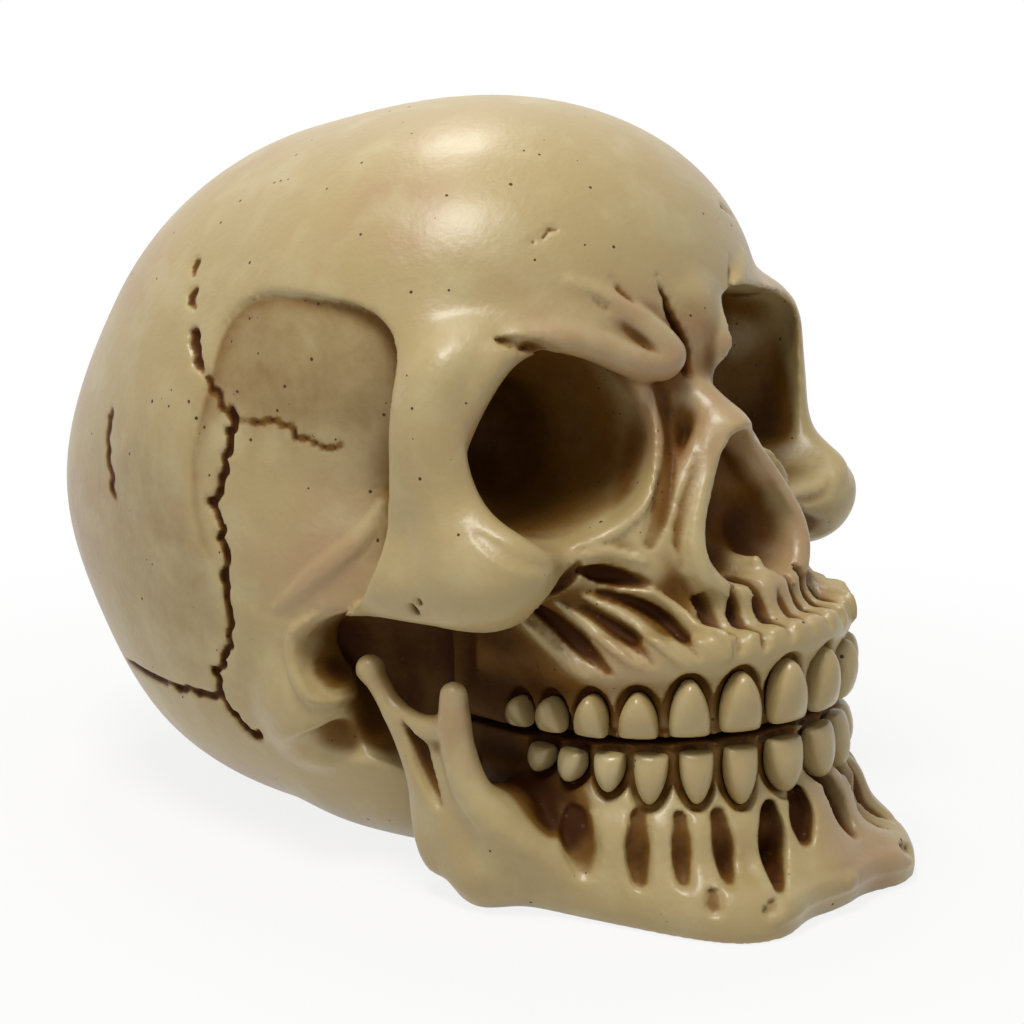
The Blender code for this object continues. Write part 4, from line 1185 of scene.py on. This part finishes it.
temple_whole = mirrored(temple_mask)
creases, hollow_shade = blurred(solid_castings, CREASE_REACH), blurred(solid_castings, HOLLOW_SHADE_REACH)
for piece in (cranium, mandible, upper_teeth, lower_teeth):
    zones = painted_zones(piece.data)
    # The cranium also takes the painted shade inside its temples
    if piece is cranium:
        zones = np.maximum(zones, painted_temple_shade(piece.data))
    store(piece.data, "crease", -sampled(creases, piece.data))
    store(piece.data, "hollow", HOLLOW_SHADE_LEVEL - sampled(hollow_shade, piece.data))
    store(piece.data, "ink", sampled(ink, piece.data))
    store(piece.data, "brushed_and_shaded", zones)
print("creases and hollows are stored on", len(cranium.data.vertices), "cranium vertices")

# %% [markdown]
# A cream resin under a brown wash needs four effects that the castings and the teeth share: mottled
# colour, the settled wash with the painted shade that goes with it, dark specks of dirt, and the fine
# unevenness of a hand-finished casting. Each is a node group with named inputs, built once, and each
# finish uses it with its own values.

# %% Mottled resin
CREAM = (0.430, 0.320, 0.138, 1)
ROSE = (0.400, 0.258, 0.122, 1)
PALE = (0.510, 0.425, 0.220, 1)
PATCH_RANGE = (0.48, 0.66)
# Clouds are finer than patches by this many times, and cover at most the last share of the colour
CLOUD_FINENESS = 4.3
CLOUD_RANGE = (0.45, 0.75, 0.0, 0.55)
FINE_DETAIL = 3.0

mottling, given, result = new_group(
    "mottled_resin", [("Cream", COLOUR, CREAM), ("Rose", COLOUR, ROSE), ("Pale", COLOUR, PALE),
                      ("Scale", VALUE, 24.0)], [("Colour", COLOUR)])
patches = ranged(mottling, noise(mottling, given["Scale"]), *PATCH_RANGE)
fine_scale = maths(mottling, "MULTIPLY", given["Scale"], CLOUD_FINENESS)
clouds = ranged(mottling, noise(mottling, fine_scale, FINE_DETAIL), *CLOUD_RANGE)
patched = mixed(mottling, patches, given["Cream"], given["Rose"])
give(mottling, result["Colour"], mixed(mottling, clouds, patched, given["Pale"]))

# %% Settled wash and painted shade
# The ragged edge of the wash is a noise of this scale, detail and roughness
RAGGED_EDGE = (170.0, 5.0, 0.65)
# Each stored measure of a piece, and the input that says how much of it counts
GAINS = {"crease": "Crease gain", "hollow": "Hollow gain", "ink": "Ink gain", "brushed_and_shaded": "Brush gain"}

wash, given, result = new_group(
    "settled_wash_and_shade", [("Crease gain", VALUE, 3.0), ("Hollow gain", VALUE, 1.0), ("Ink gain", VALUE, 1.0),
                     ("Brush gain", VALUE, 1.0), ("Start", VALUE, 0.1), ("Full", VALUE, 0.8),
                     ("Ragged", VALUE, 0.5)], [("Cover", VALUE)])
cover = maths(wash, "MULTIPLY", maths(wash, "SUBTRACT", noise(wash, *RAGGED_EDGE), 0.5), given["Ragged"])
for measure, gain in GAINS.items():
    stored_measure = add(wash, "ShaderNodeAttribute", attribute_name=measure).outputs["Fac"]
    cover = maths(wash, "ADD", cover, maths(wash, "MULTIPLY", stored_measure, given[gain]))
give(wash, result["Cover"], ranged(wash, cover, given["Start"], given["Full"]))

# %% Specks of dirt
specks, given, result = new_group(
    "dirt_specks", [("Scale", VALUE, 620.0), ("Size", VALUE, 0.21), ("Share", VALUE, 0.1)],
    [("Mask", VALUE)])
spots = add(specks, "ShaderNodeTexVoronoi", {"Vector": on_piece(specks), "Scale": given["Scale"]}).outputs
chance = add(specks, "ShaderNodeSeparateColor", {"Color": spots["Color"]}).outputs
chosen = maths(specks, "GREATER_THAN", given["Share"], chance["Red"])
dot_size = maths(specks, "MULTIPLY", chance["Green"], given["Size"])
dots = maths(specks, "LESS_THAN", spots["Distance"], dot_size)
give(specks, result["Mask"], maths(specks, "MULTIPLY", dots, chosen))

# %% Unevenness of the casting
GRAIN_FINENESS = 9.0

relief, given, result = new_group(
    "casting_relief", [("Scale", VALUE, 90.0), ("Grain", VALUE, 0.25)], [("Height", VALUE)])
grain_scale = maths(relief, "MULTIPLY", given["Scale"], GRAIN_FINENESS)
grain = maths(relief, "MULTIPLY", noise(relief, grain_scale, FINE_DETAIL), given["Grain"])
give(relief, result["Height"], maths(relief, "ADD", noise(relief, given["Scale"]), grain))
print("shared groups:", [tree.name for tree in (mottling, wash, specks, relief)])

# %% [markdown]
# The castings and the teeth are the same resin, but the teeth were wiped cleaner and keep the wash
# only along their edges. The wash multiplies the colour, as a thin glaze does: one pass for the broad
# brown stain in the recesses, and a second, darker, for the lines in the creases. Both passes also
# multiply in painted shade: in the deep recesses, inside the temples, on the back of the head and on
# the far side of the face.

# %% Resin finishes
# The colours that the wash and the painted shade multiply in: a broad brown, and a darker one for the lines
STAIN_AND_SHADE = (0.40, 0.25, 0.10, 1)
DEEP_STAIN_AND_SHADE = (0.30, 0.19, 0.12, 1)
DIRT = (0.09, 0.045, 0.02, 1)
DIRT_RANGE = (0.08, 0.5)
LINE_ROUGHNESS = 0.62
CLEAN_SHINE = 0.5
DULL_SHINE = 0.12
COAT_FADES_FROM = 0.3
COAT_ROUGHNESS = 0.22


def resin_finish(name, tones, stain, deep, relief_scale, bump, roughness, coat):
    paint = finishes[name]
    paint.use_nodes = True
    tree = paint.node_tree
    # Both passes carry the wash and the painted shade
    broad = use(tree, wash, **stain)
    lines = use(tree, wash, **deep)
    dirt = use(tree, specks, Share=ranged(tree, broad, 0.0, 1.0, *DIRT_RANGE))
    colour = use(tree, mottling, Cream=tones[0], Rose=tones[1], Pale=tones[2])
    colour = mixed(tree, broad, colour, STAIN_AND_SHADE, "MULTIPLY")
    colour = mixed(tree, lines, colour, DEEP_STAIN_AND_SHADE, "MULTIPLY")
    matt = maths(tree, "MAXIMUM", broad, dirt)
    raised = add(tree, "ShaderNodeBump", {"Height": use(tree, relief, Scale=relief_scale),
                                          "Strength": 1.0, "Distance": bump})
    for socket, value in (
            ("Base Color", mixed(tree, dirt, colour, DIRT)),
            ("Roughness", ranged(tree, lines, 0.0, 1.0, roughness, LINE_ROUGHNESS)),
            ("Specular IOR Level", ranged(tree, matt, 0.0, 1.0, CLEAN_SHINE, DULL_SHINE)),
            ("Coat Weight", ranged(tree, matt, COAT_FADES_FROM, 1.0, coat, 0.0)),
            ("Coat Roughness", COAT_ROUGHNESS), ("Normal", raised.outputs["Normal"])):
        give(tree, tree.nodes["Principled BSDF"].inputs[socket], value)


resin_finish(
    "cast_resin", (CREAM, ROSE, PALE), relief_scale=110.0, bump=0.00035, roughness=0.42, coat=0.2,
    stain=dict(Crease_gain=2.6, Hollow_gain=1.3, Ink_gain=0.8, Brush_gain=0.8, Start=0.02, Full=0.8,
               Ragged=0.35),
    deep=dict(Crease_gain=2.4, Hollow_gain=1.3, Ink_gain=0.8, Brush_gain=0.65, Start=0.5, Full=1.4,
              Ragged=0.6))
resin_finish(
    "tooth_resin", (CREAM, CREAM, PALE), relief_scale=160.0, bump=0.0003, roughness=0.34, coat=0.25,
    stain=dict(Crease_gain=2.6, Hollow_gain=1.2, Ink_gain=0.0, Brush_gain=0.34, Start=0.14, Full=0.9,
               Ragged=0.35),
    deep=dict(Crease_gain=2.8, Hollow_gain=1.0, Ink_gain=0.0, Brush_gain=0.25, Start=0.40, Full=1.2,
              Ragged=0.6))
print("two resin finishes")

# %% [markdown]
# The disc under the base is felt, which is matt and a little fuzzy. It keeps the shape it has in the
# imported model, so only its material changes.

# %% Felt disc
FELT = (0.022, 0.020, 0.018, 1)
FELT_FLUFF = (0.060, 0.055, 0.050, 1)
FELT_ROUGHNESS = 0.95
FELT_SHEEN = 0.4
FELT_BUMP = 0.0003
# The fibres are a noise of this scale, detail and roughness
FELT_FIBRES = (1400.0, 4.0, 0.7)

felt = finishes["disc_felt"]
felt.use_nodes = True
wool = felt.node_tree
fluff = noise(wool, *FELT_FIBRES)
felt_bump = add(wool, "ShaderNodeBump", {"Height": fluff, "Strength": 1.0, "Distance": FELT_BUMP})
for socket, value in (("Base Color", mixed(wool, fluff, FELT, FELT_FLUFF)), ("Roughness", FELT_ROUGHNESS),
                      ("Sheen Weight", FELT_SHEEN), ("Normal", felt_bump.outputs["Normal"])):
    give(wool, wool.nodes["Principled BSDF"].inputs[socket], value)
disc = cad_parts["closing_disc"]
for material_slot in disc.material_slots:
    material_slot.material = felt
print("the disc has", len(disc.material_slots), "material slot")

# %% [markdown]
# Last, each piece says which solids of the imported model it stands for, which material slot it takes
# its finish from, and that it moves with the one rigid body.

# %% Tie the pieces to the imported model
for piece in (cranium, mandible):
    piece.data.materials.clear()
    piece.data.materials.append(finishes["cast_resin"])
for piece, slot_name, first_word in (
        (cranium, "cast_resin", "cranium"), (mandible, "cast_resin", "mandible"),
        (upper_teeth, "tooth_resin", "upper"), (lower_teeth, "tooth_resin", "lower")):
    replaced = [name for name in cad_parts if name.startswith(first_word)]
    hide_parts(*replaced)
    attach(piece, "root")
    print(piece.name, "stands for", len(replaced), "solids")
